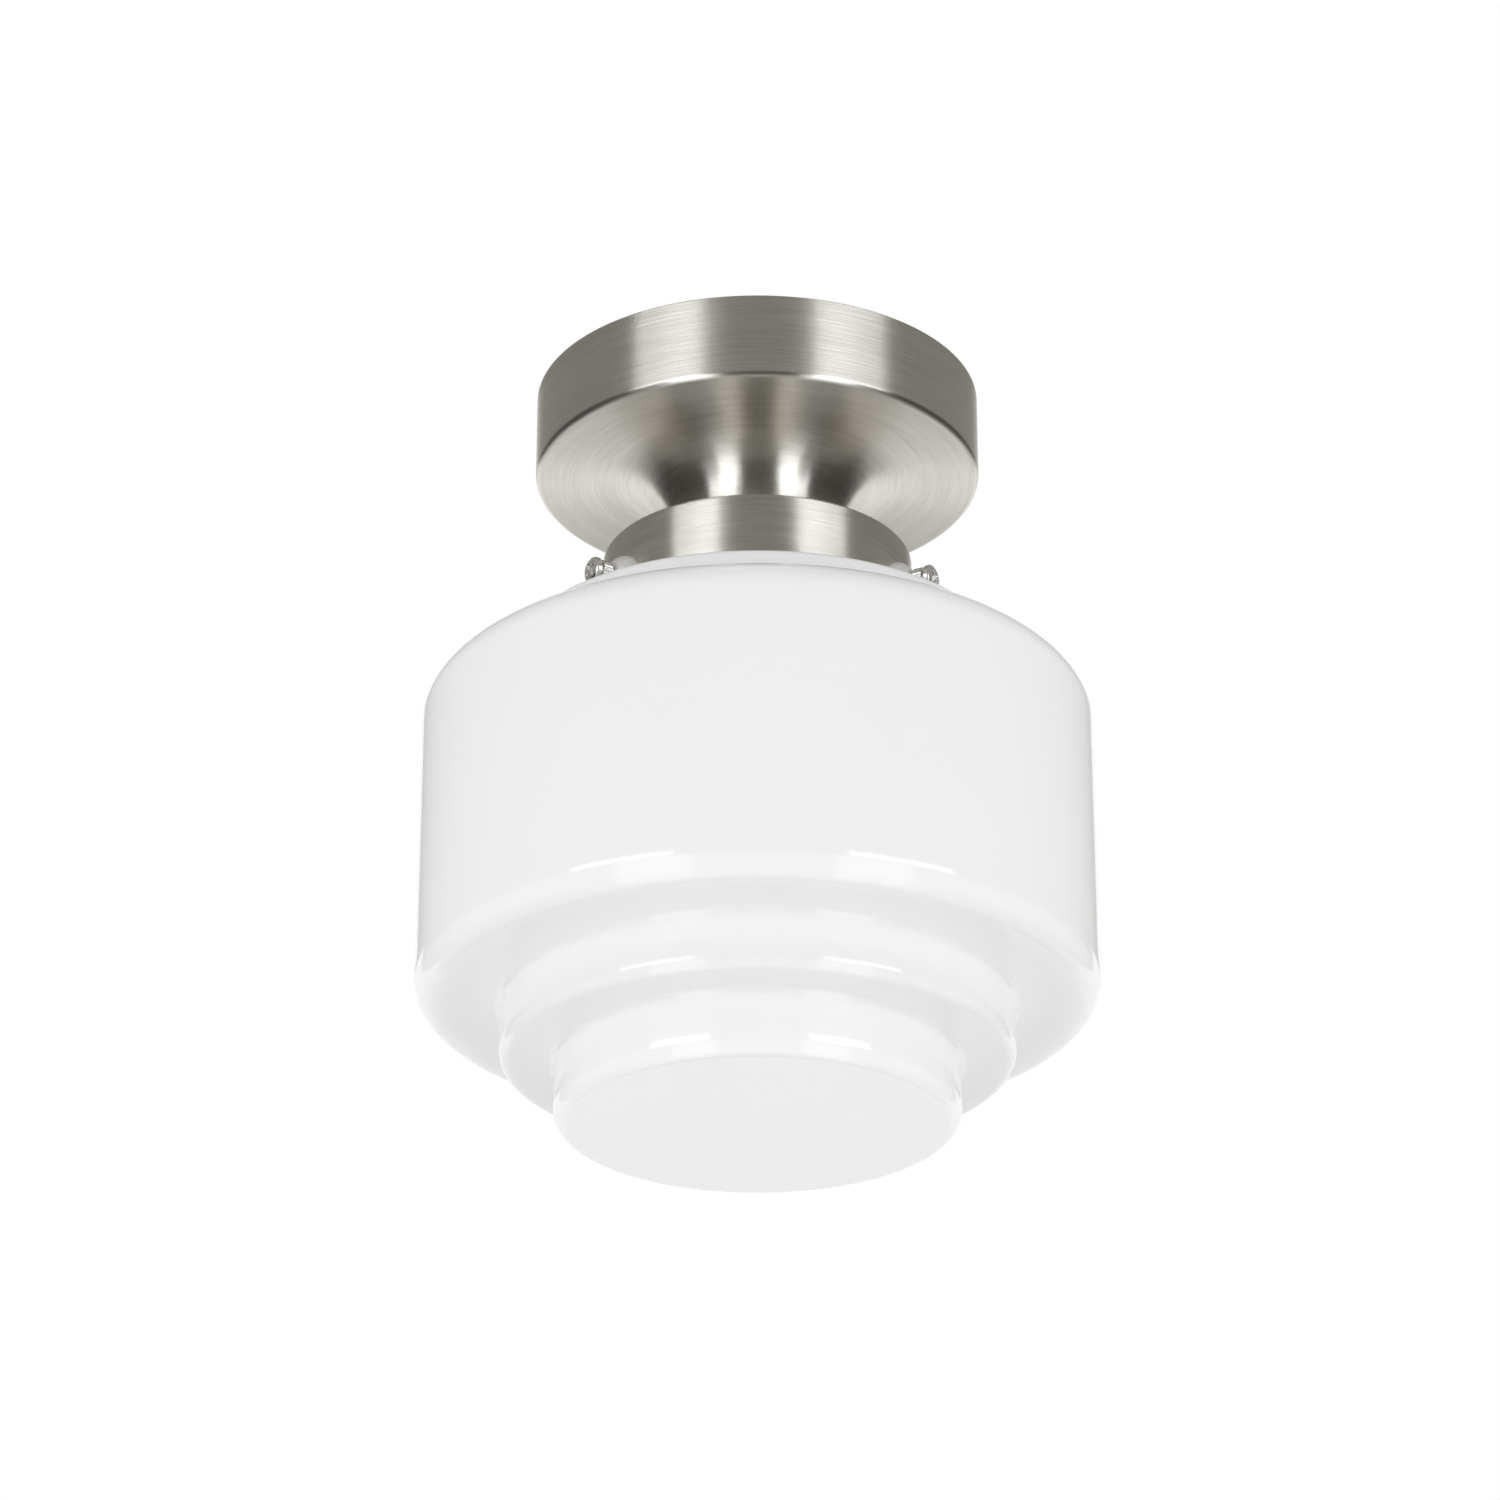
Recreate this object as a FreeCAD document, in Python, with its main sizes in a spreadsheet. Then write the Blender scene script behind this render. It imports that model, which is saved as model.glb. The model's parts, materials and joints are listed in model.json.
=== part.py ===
import FreeCAD, Part
import Sketcher
import math
import os

from FreeCAD import Placement, Rotation, Vector

# Semi-flush ceiling light: a spun canopy and a pressed gallery hang on one hollow
# threaded tube, and an opal glass shade hangs in the gallery on three thumb screws.
# Frame: origin in the ceiling plane on the lamp's axis, +Z up, all sizes in mm.
# A "depth" is measured down from the ceiling plane.

drivingSizes = {
    # canopy
    "canopyRadius": 67.5,
    "canopyHeight": 27.0,
    "canopyWall": 0.9,
    "canopyEdgeRound": 3.0,
    "flareRound": 18.0,
    "neckRadius": 26.5,
    "neckLength": 28.0,
    # gallery
    "galleryRadius": 46.7,
    "galleryWall": 0.8,
    "galleryTopRound": 2.0,
    "galleryHem": 2.7,
    "locatingStep": 1.2,
    "locatingClearance": 0.3,
    # threaded tube and its nuts
    "tubeRadius": 5.0,
    "tubeWall": 1.0,
    "tubeProud": 1.0,
    "tubeChamfer": 0.5,
    "threadClearance": 0.05,
    "nutHeight": 3.0,
    "nutRadius": 8.1,
    "washerRadius": 9.0,
    "washerSheet": 0.8,
    "washerNotch": 1.2,
    # mounting bracket
    "bracketEndGap": 8.6,
    "bracketWidth": 22.0,
    "bracketSheet": 1.5,
    "bracketBend": 1.5,
    "bracketCorner": 4.0,
    "slotLength": 14.0,
    "slotWidth": 5.0,
    "slotMargin": 5.0,
    # earth screw
    "earthGap": 3.3,
    "earthMargin": 2.4,
    "earthScrewRadius": 2.0,
    "earthHeadRadius": 3.8,
    "earthHeadHeight": 2.4,
    "earthShank": 7.0,
    "earthWasherRadius": 4.6,
    # terminal block
    "blockGap": 1.9,
    "blockSpace": 2.6,
    "blockRound": 1.0,
    "sideWall": 1.5,
    "poleWall": 0.4,
    "sleeveCover": 4.3,
    "sleeveClearance": 0.4,
    "sleeveWall": 1.2,
    "sleeveLength": 17.0,
    "sleeveRecess": 2.5,
    "clampEnd": 3.0,
    "clampRecess": 1.0,
    "clampScrewRadius": 1.3,
    "blockScrewRadius": 1.2,
    "blockScrewStand": 1.0,
    "blockScrewHeadRadius": 2.0,
    "blockScrewHeadHeight": 2.0,
    "headCover": 0.3,
    # leads
    "leadRadius": 1.1,
    "leadBend": 3.0,
    "leadGap": 0.8,
    "leadOver": 2.4,
    "leadReach": 6.0,
    "leadInset": 0.5,
    "leadEndInset": 0.9,
    # thumb screws and their bushes
    "screwRadius": 1.95,
    "screwStand": 1.7,
    "screwHeadRadius": 4.0,
    "screwHeadLength": 6.2,
    "screwHeadGap": 1.2,
    "screwHeadRound": 0.9,
    "recessHalfLength": 2.2,
    "recessHalfWidth": 0.5,
    "recessDeep": 1.6,
    "tipRadius": 1.4,
    "tipSocket": 2.6,
    "tipGap": 0.2,
    "bushRadius": 7.0,
    "bushStand": 5.1,
    "bushShankRadius": 3.5,
    "bushChamfer": 0.5,
    "rivetLip": 1.1,
    "rivetHeight": 1.1,
    "rivetGap": 0.4,
    # glass shade
    "glassWall": 3.0,
    "glassNeckSpace": 6.4,
    "lipStand": 2.5,
    "lipHeight": 5.0,
    "lipRound": 1.4,
    "lipClearance": 2.7,
    "lipToScrew": 4.85,
    "glassNeckRound": 3.0,
    "ringGap": 5.5,
    "ringHeight": 13.5,
    "ringRound": 3.0,
    "shoulderWidth": 24.0,
    "shoulderRound": 10.4,
    "drumRadius": 100.0,
    "drumHeight": 98.5,
    "drumFootRound": 7.4,
    "upperStepIn": 25.0,
    "upperStepHeight": 17.5,
    "upperStepRound": 3.2,
    "lowerStepIn": 16.0,
    "lowerStepHeight": 19.0,
    "lowerStepRound": 4.6,
    "innerCornerRound": 2.0,
    "softEdge": 0.6,
    # lampholder
    "holderGap": 0.6,
    "holderWall": 2.4,
    "holderNeckWall": 3.0,
    "holderNeckHeight": 4.0,
    "holderRoofRise": 7.0,
    "holderHubLength": 10.0,
    "holderCapHeight": 21.0,
    "skirtLength": 30.0,
    "skirtTaper": 1.5,
    "grubRadius": 1.4,
    "coreRise": 2.5,
    "coreHeight": 7.0,
    "coreClearance": 0.2,
    "coreLedge": 1.6,
    "shellRadius": 13.25,
    "shellSheet": 0.4,
    "shellSpace": 4.1,
    "shellMouth": 3.9,
    "flangeGap": 0.6,
    "threadPitch": 3.629,
    "threadHeight": 0.85,
    # lampholder contacts
    "liveInset": 0.85,
    "neutralOutset": 1.55,
    "contactSheet": 0.8,
    "contactWidth": 4.0,
    "contactSpring": 1.5,
    "clampBlockLength": 5.4,
    "clampBlockWidth": 6.0,
    "clampBlockHeight": 4.4,
    "clampWayHeight": 2.6,
    "clampWayClearance": 0.1,
    "contactScrewRadius": 1.9,
    "contactScrewHeight": 1.6,
    # bulb
    "bulbClearance": 0.15,
    "contactGap": 0.3,
    "pipRadius": 4.0,
    "pipHeight": 1.3,
    "insulatorHeight": 3.4,
    "insulatorRim": 1.4,
    "insulatorInset": 1.25,
    "capCollar": 2.9,
    "waistStand": 1.5,
    "waistLength": 12.0,
    "waistRound": 18.0,
    "housingLength": 30.0,
    "housingStep": 1.4,
    "housingRim": 3.0,
    "globeRadius": 27.5,
    "globeWall": 1.5,
    # spare length of every cutting tool
    "overrun": 1.0,
}

screwAngles = (90.0, 210.0, 330.0)  # thumb screws round the axis, in degrees
bothSides = (-1, 1)                 # left and right, or back and front
shellTurns = 4                      # rolled thread turns of the brass shell
capTurns = 5                        # rolled thread turns of the bulb's cap
washerTeeth = 10                    # notches of the toothed washer
tolerance = 1e-5


class Size:
    """A length that carries its value and the sheet formula behind it."""

    def __init__(self, value, text):
        self.value = value
        self.text = text

    def __add__(self, other):
        return Size(self.value + number(other), "(%s + %s)" % (self.text, formula(other)))

    def __radd__(self, other):
        return Size(number(other) + self.value, "(%s + %s)" % (formula(other), self.text))

    def __sub__(self, other):
        return Size(self.value - number(other), "(%s - %s)" % (self.text, formula(other)))

    def __rsub__(self, other):
        return Size(number(other) - self.value, "(%s - %s)" % (formula(other), self.text))

    def __mul__(self, other):
        return Size(self.value * number(other), "(%s * %s)" % (self.text, formula(other)))

    def __rmul__(self, other):
        return self * other

    def __truediv__(self, other):
        return Size(self.value / number(other), "(%s / %s)" % (self.text, formula(other)))

    def __neg__(self):
        return Size(-self.value, "(-%s)" % self.text)


def number(size):
    return size.value if isinstance(size, Size) else float(size)


def formula(size):
    return size.text if isinstance(size, Size) else "%.9f" % size


def root(square):
    return Size(math.sqrt(square.value), "sqrt(%s)" % square.text)


def vector(x, y, z):
    return Vector(number(x), number(y), number(z))


doc = FreeCAD.newDocument("CeilingLight")
sheet = doc.addObject("Spreadsheet::Sheet", "sizes")


class SheetSizes:
    """Every driving size as an attribute, tied to its cell in the sheet."""

    def __init__(self, values):
        for row, (name, value) in enumerate(values.items(), start=1):
            sheet.set("A%d" % row, name)
            sheet.set("B%d" % row, str(value))
            sheet.setAlias("B%d" % row, name)
            setattr(self, name, Size(value, "sizes.%s" % name))


s = SheetSizes(drivingSizes)
doc.recompute()
nodes = []

# Sizes and depths that follow from the driving sizes and that several pieces share

canopyInside = s.canopyRadius - s.canopyWall
neckInside = s.neckRadius - s.canopyWall
galleryTop = s.canopyHeight + s.neckLength
galleryInside = s.galleryRadius - s.galleryWall
lipTop = galleryTop + s.galleryWall + s.lipClearance
lipFoot = lipTop + s.lipHeight
screwDepth = lipFoot + s.lipStand + s.lipToScrew + s.screwRadius
galleryFoot = screwDepth + s.bushRadius + s.galleryHem

tubeWay = s.tubeRadius + s.threadClearance
plateTop = galleryTop - s.locatingStep
nutTop = plateTop + s.galleryWall + s.washerSheet
holderNeckTop = nutTop + s.nutHeight + s.holderGap
tubeFoot = holderNeckTop + s.holderHubLength

sleeveBore = s.leadRadius + s.sleeveClearance
sleeveRadius = sleeveBore + s.sleeveWall
poleSpacing = 2 * (sleeveRadius + s.blockScrewRadius + s.poleWall)
sleeveDrop = s.sleeveCover + sleeveRadius
blockHeight = sleeveDrop + sleeveRadius + s.headCover + s.blockScrewHeadHeight
blockWidth = poleSpacing + 2 * (sleeveRadius + s.sideWall)
blockLength = s.sleeveLength + 2 * s.sleeveRecess
blockPlace = s.nutRadius + s.blockGap + blockWidth / 2

bracketFoot = s.canopyHeight - s.canopyWall - s.blockSpace - blockHeight
bracketDrop = bracketFoot - s.bracketSheet
bracketHalf = canopyInside - s.bracketEndGap
slotPlace = bracketHalf - s.slotMargin - s.slotLength / 2
earthPlace = s.nutRadius + s.earthGap + s.earthWasherRadius
bracketMiddle = earthPlace + s.earthWasherRadius + s.earthMargin
bracketBendPlace = slotPlace - s.slotLength / 2 - s.slotMargin
tubeHead = bracketDrop - s.nutHeight - s.tubeProud

glassNeckRadius = galleryInside - s.glassNeckSpace
lipRadius = glassNeckRadius + s.lipStand
ringTop = galleryFoot + s.ringGap
shoulderDepth = ringTop + s.ringHeight
drumFoot = shoulderDepth + s.drumHeight
upperStepFoot = drumFoot + s.upperStepHeight
lowerStepFoot = upperStepFoot + s.lowerStepHeight
ringRadius = s.drumRadius - s.shoulderWidth
upperStepRadius = s.drumRadius - s.upperStepIn
lowerStepRadius = upperStepRadius - s.lowerStepIn

screwInner = glassNeckRadius + s.screwStand
bushOuter = s.galleryRadius + s.bushStand
bushInner = galleryInside - s.rivetHeight - s.rivetGap
bushWay = s.bushShankRadius + s.threadClearance

holderNeckRadius = s.tubeRadius + s.holderNeckWall
holderInside = s.shellRadius + s.threadHeight + s.shellSheet + s.shellSpace
holderRadius = holderInside + s.holderWall
holderJoint = holderNeckTop + s.holderCapHeight
coreTop = holderJoint - s.coreRise
coreFoot = coreTop + s.coreHeight
coreRadius = holderInside - s.coreClearance
ledgeRadius = holderInside - s.coreLedge
wireLevel = s.clampWayHeight - coreTop
liveOffset = s.shellRadius - s.liveInset
neutralOffset = -(s.shellRadius + s.neutralOutset)

capRadius = s.shellRadius - s.bulbClearance
capRoot = capRadius - s.threadHeight


# Documents, sheets and places

def keep(item, label):
    """Mark an object as a finished piece of the lamp, under its node name."""
    item.Label = label
    nodes.append((label, item))
    return item


def bind(item, name, size):
    item.setExpression(name, formula(size))


def place(item, x=0, y=0, z=0, rotation=None):
    """Put an object at a point given in sheet sizes."""
    item.Placement = Placement(vector(x, y, z), rotation or Rotation())
    for axis, size in zip("xyz", (x, y, z)):
        if isinstance(size, Size):
            bind(item, "Placement.Base.%s" % axis, size)
    return item


# Sketches and bodies

def originPlane(body, role):
    return [item for item in body.Origin.OriginFeatures if item.Role == role][0]


def outline(body, role, points, lift=None):
    """A closed polygon on one of the body's origin planes, each corner bound to the sheet."""
    sketch = body.newObject("Sketcher::SketchObject", body.Name + "_outline")
    sketch.AttachmentSupport = [(originPlane(body, role), "")]
    sketch.MapMode = "FlatFace"
    if lift is not None:
        bind(sketch, "AttachmentOffset.Base.z", lift)
    count = len(points)
    for i in range(count):
        here = points[i]
        there = points[(i + 1) % count]
        sketch.addGeometry(Part.LineSegment(vector(*here, 0), vector(*there, 0)))
    for i in range(count):
        sketch.addConstraint(Sketcher.Constraint("Coincident", i, 2, (i + 1) % count, 1))
    for i, point in enumerate(points):
        for kind, crossAxis, size in (("DistanceX", -2, point[0]), ("DistanceY", -1, point[1])):
            if number(size) == 0:
                sketch.addConstraint(Sketcher.Constraint("PointOnObject", i, 1, crossAxis))
            else:
                rule = Sketcher.Constraint(kind, -1, 1, i, 1, number(size))
                index = sketch.addConstraint(rule)
                bind(sketch, "Constraints[%d]" % index, size)
    return sketch


def turned(name, points):
    """A body of revolution about the lamp's axis, from (radius, height) corners."""
    body = doc.addObject("PartDesign::Body", name)
    sketch = outline(body, "XZ_Plane", points)
    turn = body.newObject("PartDesign::Revolution", name + "_turn")
    turn.Profile = sketch
    turn.ReferenceAxis = (sketch, ["V_Axis"])
    turn.Angle = 360
    doc.recompute()
    return body


def padded(name, role, points, length):
    """A body pulled out of a flat outline, half to each side."""
    body = doc.addObject("PartDesign::Body", name)
    pad = body.newObject("PartDesign::Pad", name + "_pad")
    pad.Profile = outline(body, role, points)
    pad.Midplane = True
    bind(pad, "Length", length)
    doc.recompute()
    return body


def ringEdges(shape, radius, height):
    """Names of the circles of this radius that lie round the axis at this height."""
    names = []
    for i, edge in enumerate(shape.Edges, start=1):
        curve = edge.Curve
        if not isinstance(curve, Part.Circle):
            continue
        centre = curve.Center
        offAxis = math.hypot(centre.x, centre.y)
        offRing = abs(curve.Radius - number(radius)) + abs(centre.z - number(height))
        if offAxis < tolerance and offRing < tolerance:
            names.append("Edge%d" % i)
    return names


def filleted(body, size, names):
    """Round the named edges of a body's last feature."""
    if not names:
        raise ValueError("no edge to round on " + body.Name)
    base = body.Tip
    fillet = body.newObject("PartDesign::Fillet", body.Name + "_round")
    fillet.Base = (base, names)
    bind(fillet, "Radius", size)
    doc.recompute()
    return body


def rounded(body, size, corners):
    """Round the turned edges that pass through the given (radius, height) corners."""
    shape = body.Tip.Shape
    return filleted(body, size, [name for corner in corners for name in ringEdges(shape, *corner)])


def bevelled(body, size, corners):
    """Bevel the turned edges that pass through the given (radius, height) corners."""
    base = body.Tip
    names = [name for corner in corners for name in ringEdges(base.Shape, *corner)]
    chamfer = body.newObject("PartDesign::Chamfer", body.Name + "_bevel")
    chamfer.Base = (base, names)
    bind(chamfer, "Size", size)
    doc.recompute()
    return body


# Primitives and booleans

def cylinder(name, radius, height, x=0, y=0, z=0, rotation=None):
    item = doc.addObject("Part::Cylinder", name)
    bind(item, "Radius", radius)
    bind(item, "Height", height)
    return place(item, x, y, z, rotation)


def box(name, length, width, height, x=0, y=0, z=0):
    """A box centred on x and y, standing on z."""
    item = doc.addObject("Part::Box", name)
    bind(item, "Length", length)
    bind(item, "Width", width)
    bind(item, "Height", height)
    return place(item, x - length / 2, y - width / 2, z)


def cut(name, base, tools):
    """Take the tools away from the base, one after another."""
    for i, tool in enumerate(tools):
        step = doc.addObject("Part::Cut", "%s_cut%d" % (name, i))
        step.Base = base
        step.Tool = tool
        base = step
    doc.recompute()
    return base


def fuse(name, items):
    joined = doc.addObject("Part::MultiFuse", name)
    joined.Shapes = items
    joined.Refine = True
    doc.recompute()
    return joined


def group(name, items):
    """Like pieces that share one node, as separate solids."""
    bundle = doc.addObject("Part::Compound", name)
    bundle.Links = items
    doc.recompute()
    return bundle


def hexNut(name, depth):
    """A hexagonal nut on the tube, its upper face at the given depth."""
    block = doc.addObject("Part::Prism", name + "_hexagon")
    block.Polygon = 6
    bind(block, "Circumradius", s.nutRadius)
    bind(block, "Height", s.nutHeight)
    place(block, z=-(depth + s.nutHeight))
    bore = cylinder(name + "_bore", tubeWay, s.nutHeight + 2 * s.overrun, z=-(depth + s.nutHeight + s.overrun))
    return cut(name, block, [bore])


alongX = Rotation(Vector(0, 1, 0), 90)
alongY = Rotation(Vector(1, 0, 0), -90)


def outward(angle):
    """Turn a piece's own Z axis to point away from the lamp's axis."""
    return Rotation(Vector(0, 0, 1), angle) * alongX


def radial(item, angle, distance):
    """Lay a piece on a thumb screw's axis, its own origin at this distance from the lamp's axis."""
    turn = math.radians(angle)
    return place(item, distance * math.cos(turn), distance * math.sin(turn), -screwDepth, outward(angle))


# Canopy: one spun shell, from the ceiling rim down to the neck's foot

def makeCanopy():
    floor = -s.canopyHeight
    innerFloor = floor + s.canopyWall
    body = turned("canopy", [
        (s.canopyRadius, 0), (s.canopyRadius, floor), (s.neckRadius, floor), (s.neckRadius, -galleryTop),
        (neckInside, -galleryTop), (neckInside, innerFloor), (canopyInside, innerFloor), (canopyInside, 0)])
    rounded(body, s.flareRound, [(s.neckRadius, floor)])
    rounded(body, s.flareRound + s.canopyWall, [(neckInside, innerFloor)])
    rounded(body, s.canopyEdgeRound, [(s.canopyRadius, floor)])
    rounded(body, s.canopyEdgeRound - s.canopyWall, [(canopyInside, innerFloor)])
    keep(body, "canopy")


# Gallery: a pressed cup whose raised middle locates the canopy's neck

def makeGallery():
    top = -galleryTop
    raised = -plateTop
    wall = s.galleryWall
    step = neckInside - s.locatingClearance
    body = turned("gallery_cup", [
        (tubeWay, raised), (step, raised), (step, top), (s.galleryRadius, top), (s.galleryRadius, -galleryFoot),
        (galleryInside, -galleryFoot), (galleryInside, top - wall), (step - wall, top - wall),
        (step - wall, raised - wall), (tubeWay, raised - wall)])
    rounded(body, s.galleryTopRound, [(s.galleryRadius, top)])
    rounded(body, s.galleryTopRound - wall, [(galleryInside, top - wall)])
    holes = []
    for i, angle in enumerate(screwAngles, start=1):
        length = s.galleryRadius + s.overrun - bushInner
        holes.append(radial(cylinder("bush_hole_%d" % i, bushWay, length), angle, bushInner))
    keep(cut("gallery", body, holes), "gallery")


# Bushes: a round boss outside the wall, its shank riveted over inside

def makeBoss(name):
    """The boss as a short disc with a bevelled front, its foot at its own origin."""
    boss = cylinder(name + "_disc", s.bushRadius, bushOuter - galleryInside)
    doc.recompute()
    edge = doc.addObject("Part::Chamfer", name + "_edge")
    edge.Base = boss
    bevel = number(s.bushChamfer)
    front = [k for k, e in enumerate(boss.Shape.Edges, start=1)
             if isinstance(e.Curve, Part.Circle) and e.Curve.Center.z > tolerance]
    edge.Edges = [(k, bevel, bevel) for k in front]
    return edge


def makeBushes():
    bushes = []
    for i, angle in enumerate(screwAngles, start=1):
        name = "bush_%d" % i
        boss = radial(makeBoss(name + "_boss"), angle, galleryInside)
        wall = cylinder(name + "_wall", s.galleryRadius, galleryFoot - galleryTop, z=-galleryFoot)
        seated = cut(name + "_seat", boss, [wall])
        shank = radial(cylinder(name + "_shank", s.bushShankRadius, bushOuter - s.bushChamfer - bushInner),
                       angle, bushInner)
        rivet = radial(cylinder(name + "_rivet", s.bushShankRadius + s.rivetLip, s.rivetHeight), angle, bushInner)
        bore = cylinder(name + "_bore", s.screwRadius + s.threadClearance, bushOuter - bushInner + 2 * s.overrun)
        radial(bore, angle, bushInner - s.overrun)
        bushes.append(cut(name, fuse(name + "_solid", [seated, shank, rivet]), [bore]))
    keep(group("gallery_bushes", bushes), "gallery_bushes")


# Threaded tube with its nuts and toothed washer

def makeTube():
    bore = s.tubeRadius - s.tubeWall
    body = turned("threaded_tube", [
        (bore, -tubeHead), (s.tubeRadius, -tubeHead), (s.tubeRadius, -tubeFoot), (bore, -tubeFoot)])
    bevelled(body, s.tubeChamfer, [(s.tubeRadius, -tubeHead), (s.tubeRadius, -tubeFoot)])
    keep(body, "threaded_tube")
    upper = hexNut("bracket_nut_upper", bracketDrop - s.nutHeight)
    lower = hexNut("bracket_nut_lower", bracketFoot)
    keep(group("bracket_nuts", [upper, lower]), "bracket_nuts")
    washerTop = s.washerSheet - nutTop
    ring = turned("toothed_washer_ring", [
        (tubeWay, washerTop), (s.washerRadius, washerTop), (s.washerRadius, -nutTop), (tubeWay, -nutTop)])
    notches = []
    for i in range(washerTeeth):
        turn = 2 * math.pi * i / washerTeeth
        notches.append(cylinder("washer_notch_%d" % i, s.washerNotch, s.washerSheet + 2 * s.overrun,
                                s.washerRadius * math.cos(turn), s.washerRadius * math.sin(turn),
                                -(nutTop + s.overrun)))
    keep(cut("toothed_washer", ring, notches), "toothed_washer")
    keep(hexNut("gallery_nut", nutTop), "gallery_nut")


# Mounting bracket: a pressed strap of even thickness, its middle below the ceiling, with a slot at each end

def bendEdges(shape, x, height):
    """Names of the edges that run across the strap at this distance from its middle and this height."""
    names = []
    for i, edge in enumerate(shape.Edges, start=1):
        centre = edge.CenterOfMass
        across = abs(edge.tangentAt(edge.FirstParameter).y) > 1 - tolerance
        if across and abs(abs(centre.x) - number(x)) + abs(centre.z - number(height)) < tolerance:
            names.append("Edge%d" % i)
    return names


def makeBracket():
    half = bracketHalf
    thick = s.bracketSheet
    slope = bracketBendPlace - bracketMiddle
    slopeLength = root(slope * slope + bracketDrop * bracketDrop)
    shift = thick * (slopeLength - slope) / bracketDrop
    bend = bracketBendPlace
    middle = bracketMiddle
    body = padded("bracket_strap", "XZ_Plane", [
        (-half, 0), (-half, -thick), (-(bend + shift), -thick), (-(middle + shift), -bracketFoot),
        (middle + shift, -bracketFoot), (bend + shift, -thick), (half, -thick), (half, 0), (bend, 0),
        (middle, -bracketDrop), (-middle, -bracketDrop), (-bend, 0)], s.bracketWidth)
    shape = body.Tip.Shape
    filleted(body, s.bracketBend + thick,
             bendEdges(shape, bend, 0) + bendEdges(shape, middle + shift, -bracketFoot))
    shape = body.Tip.Shape
    filleted(body, s.bracketBend,
             bendEdges(shape, bend + shift, -thick) + bendEdges(shape, middle, -bracketDrop))
    corners = []
    for i, edge in enumerate(body.Tip.Shape.Edges, start=1):
        upright = abs(edge.tangentAt(edge.FirstParameter).z) > 1 - tolerance
        if upright and abs(abs(edge.CenterOfMass.x) - number(half)) < tolerance:
            corners.append("Edge%d" % i)
    filleted(body, s.bracketCorner, corners)
    deep = thick + 2 * s.overrun
    run = s.slotLength - s.slotWidth
    low = -(thick + s.overrun)
    tools = []
    for side in bothSides:
        tools.append(box("slot_%d" % side, run, s.slotWidth, deep, side * slotPlace, 0, low))
        for end in bothSides:
            tools.append(cylinder("slot_end_%d_%d" % (side, end), s.slotWidth / 2, deep,
                                  side * slotPlace + end * run / 2, 0, low))
    below = -(bracketFoot + s.overrun)
    tools.append(cylinder("tube_hole", tubeWay, deep, z=below))
    tools.append(cylinder("earth_hole", s.earthScrewRadius + s.threadClearance, deep, -earthPlace, 0, below))
    tools.append(cylinder("block_hole", s.blockScrewRadius + s.threadClearance, deep, blockPlace, 0, below))
    keep(cut("mounting_bracket", body, tools), "mounting_bracket")


# Earth screw with its washer, driven up into the strap from below

def makeEarth():
    under = -bracketFoot
    seat = under - s.washerSheet
    headFoot = seat - s.earthHeadHeight
    hole = s.earthScrewRadius + s.threadClearance
    washer = turned("earth_washer", [
        (hole, under), (s.earthWasherRadius, under), (s.earthWasherRadius, seat), (hole, seat)])
    keep(place(washer, -earthPlace), "earth_washer")
    screw = turned("earth_screw", [
        (0, seat + s.earthShank), (s.earthScrewRadius, seat + s.earthShank), (s.earthScrewRadius, seat),
        (s.earthHeadRadius, seat), (s.earthHeadRadius, headFoot), (0, headFoot)])
    rounded(screw, s.earthHeadHeight / 2, [(s.earthHeadRadius, headFoot)])
    keep(place(screw, -earthPlace), "earth_screw")


# Terminal block: a moulded two-pole body with brass sleeves and clamping screws

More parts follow.
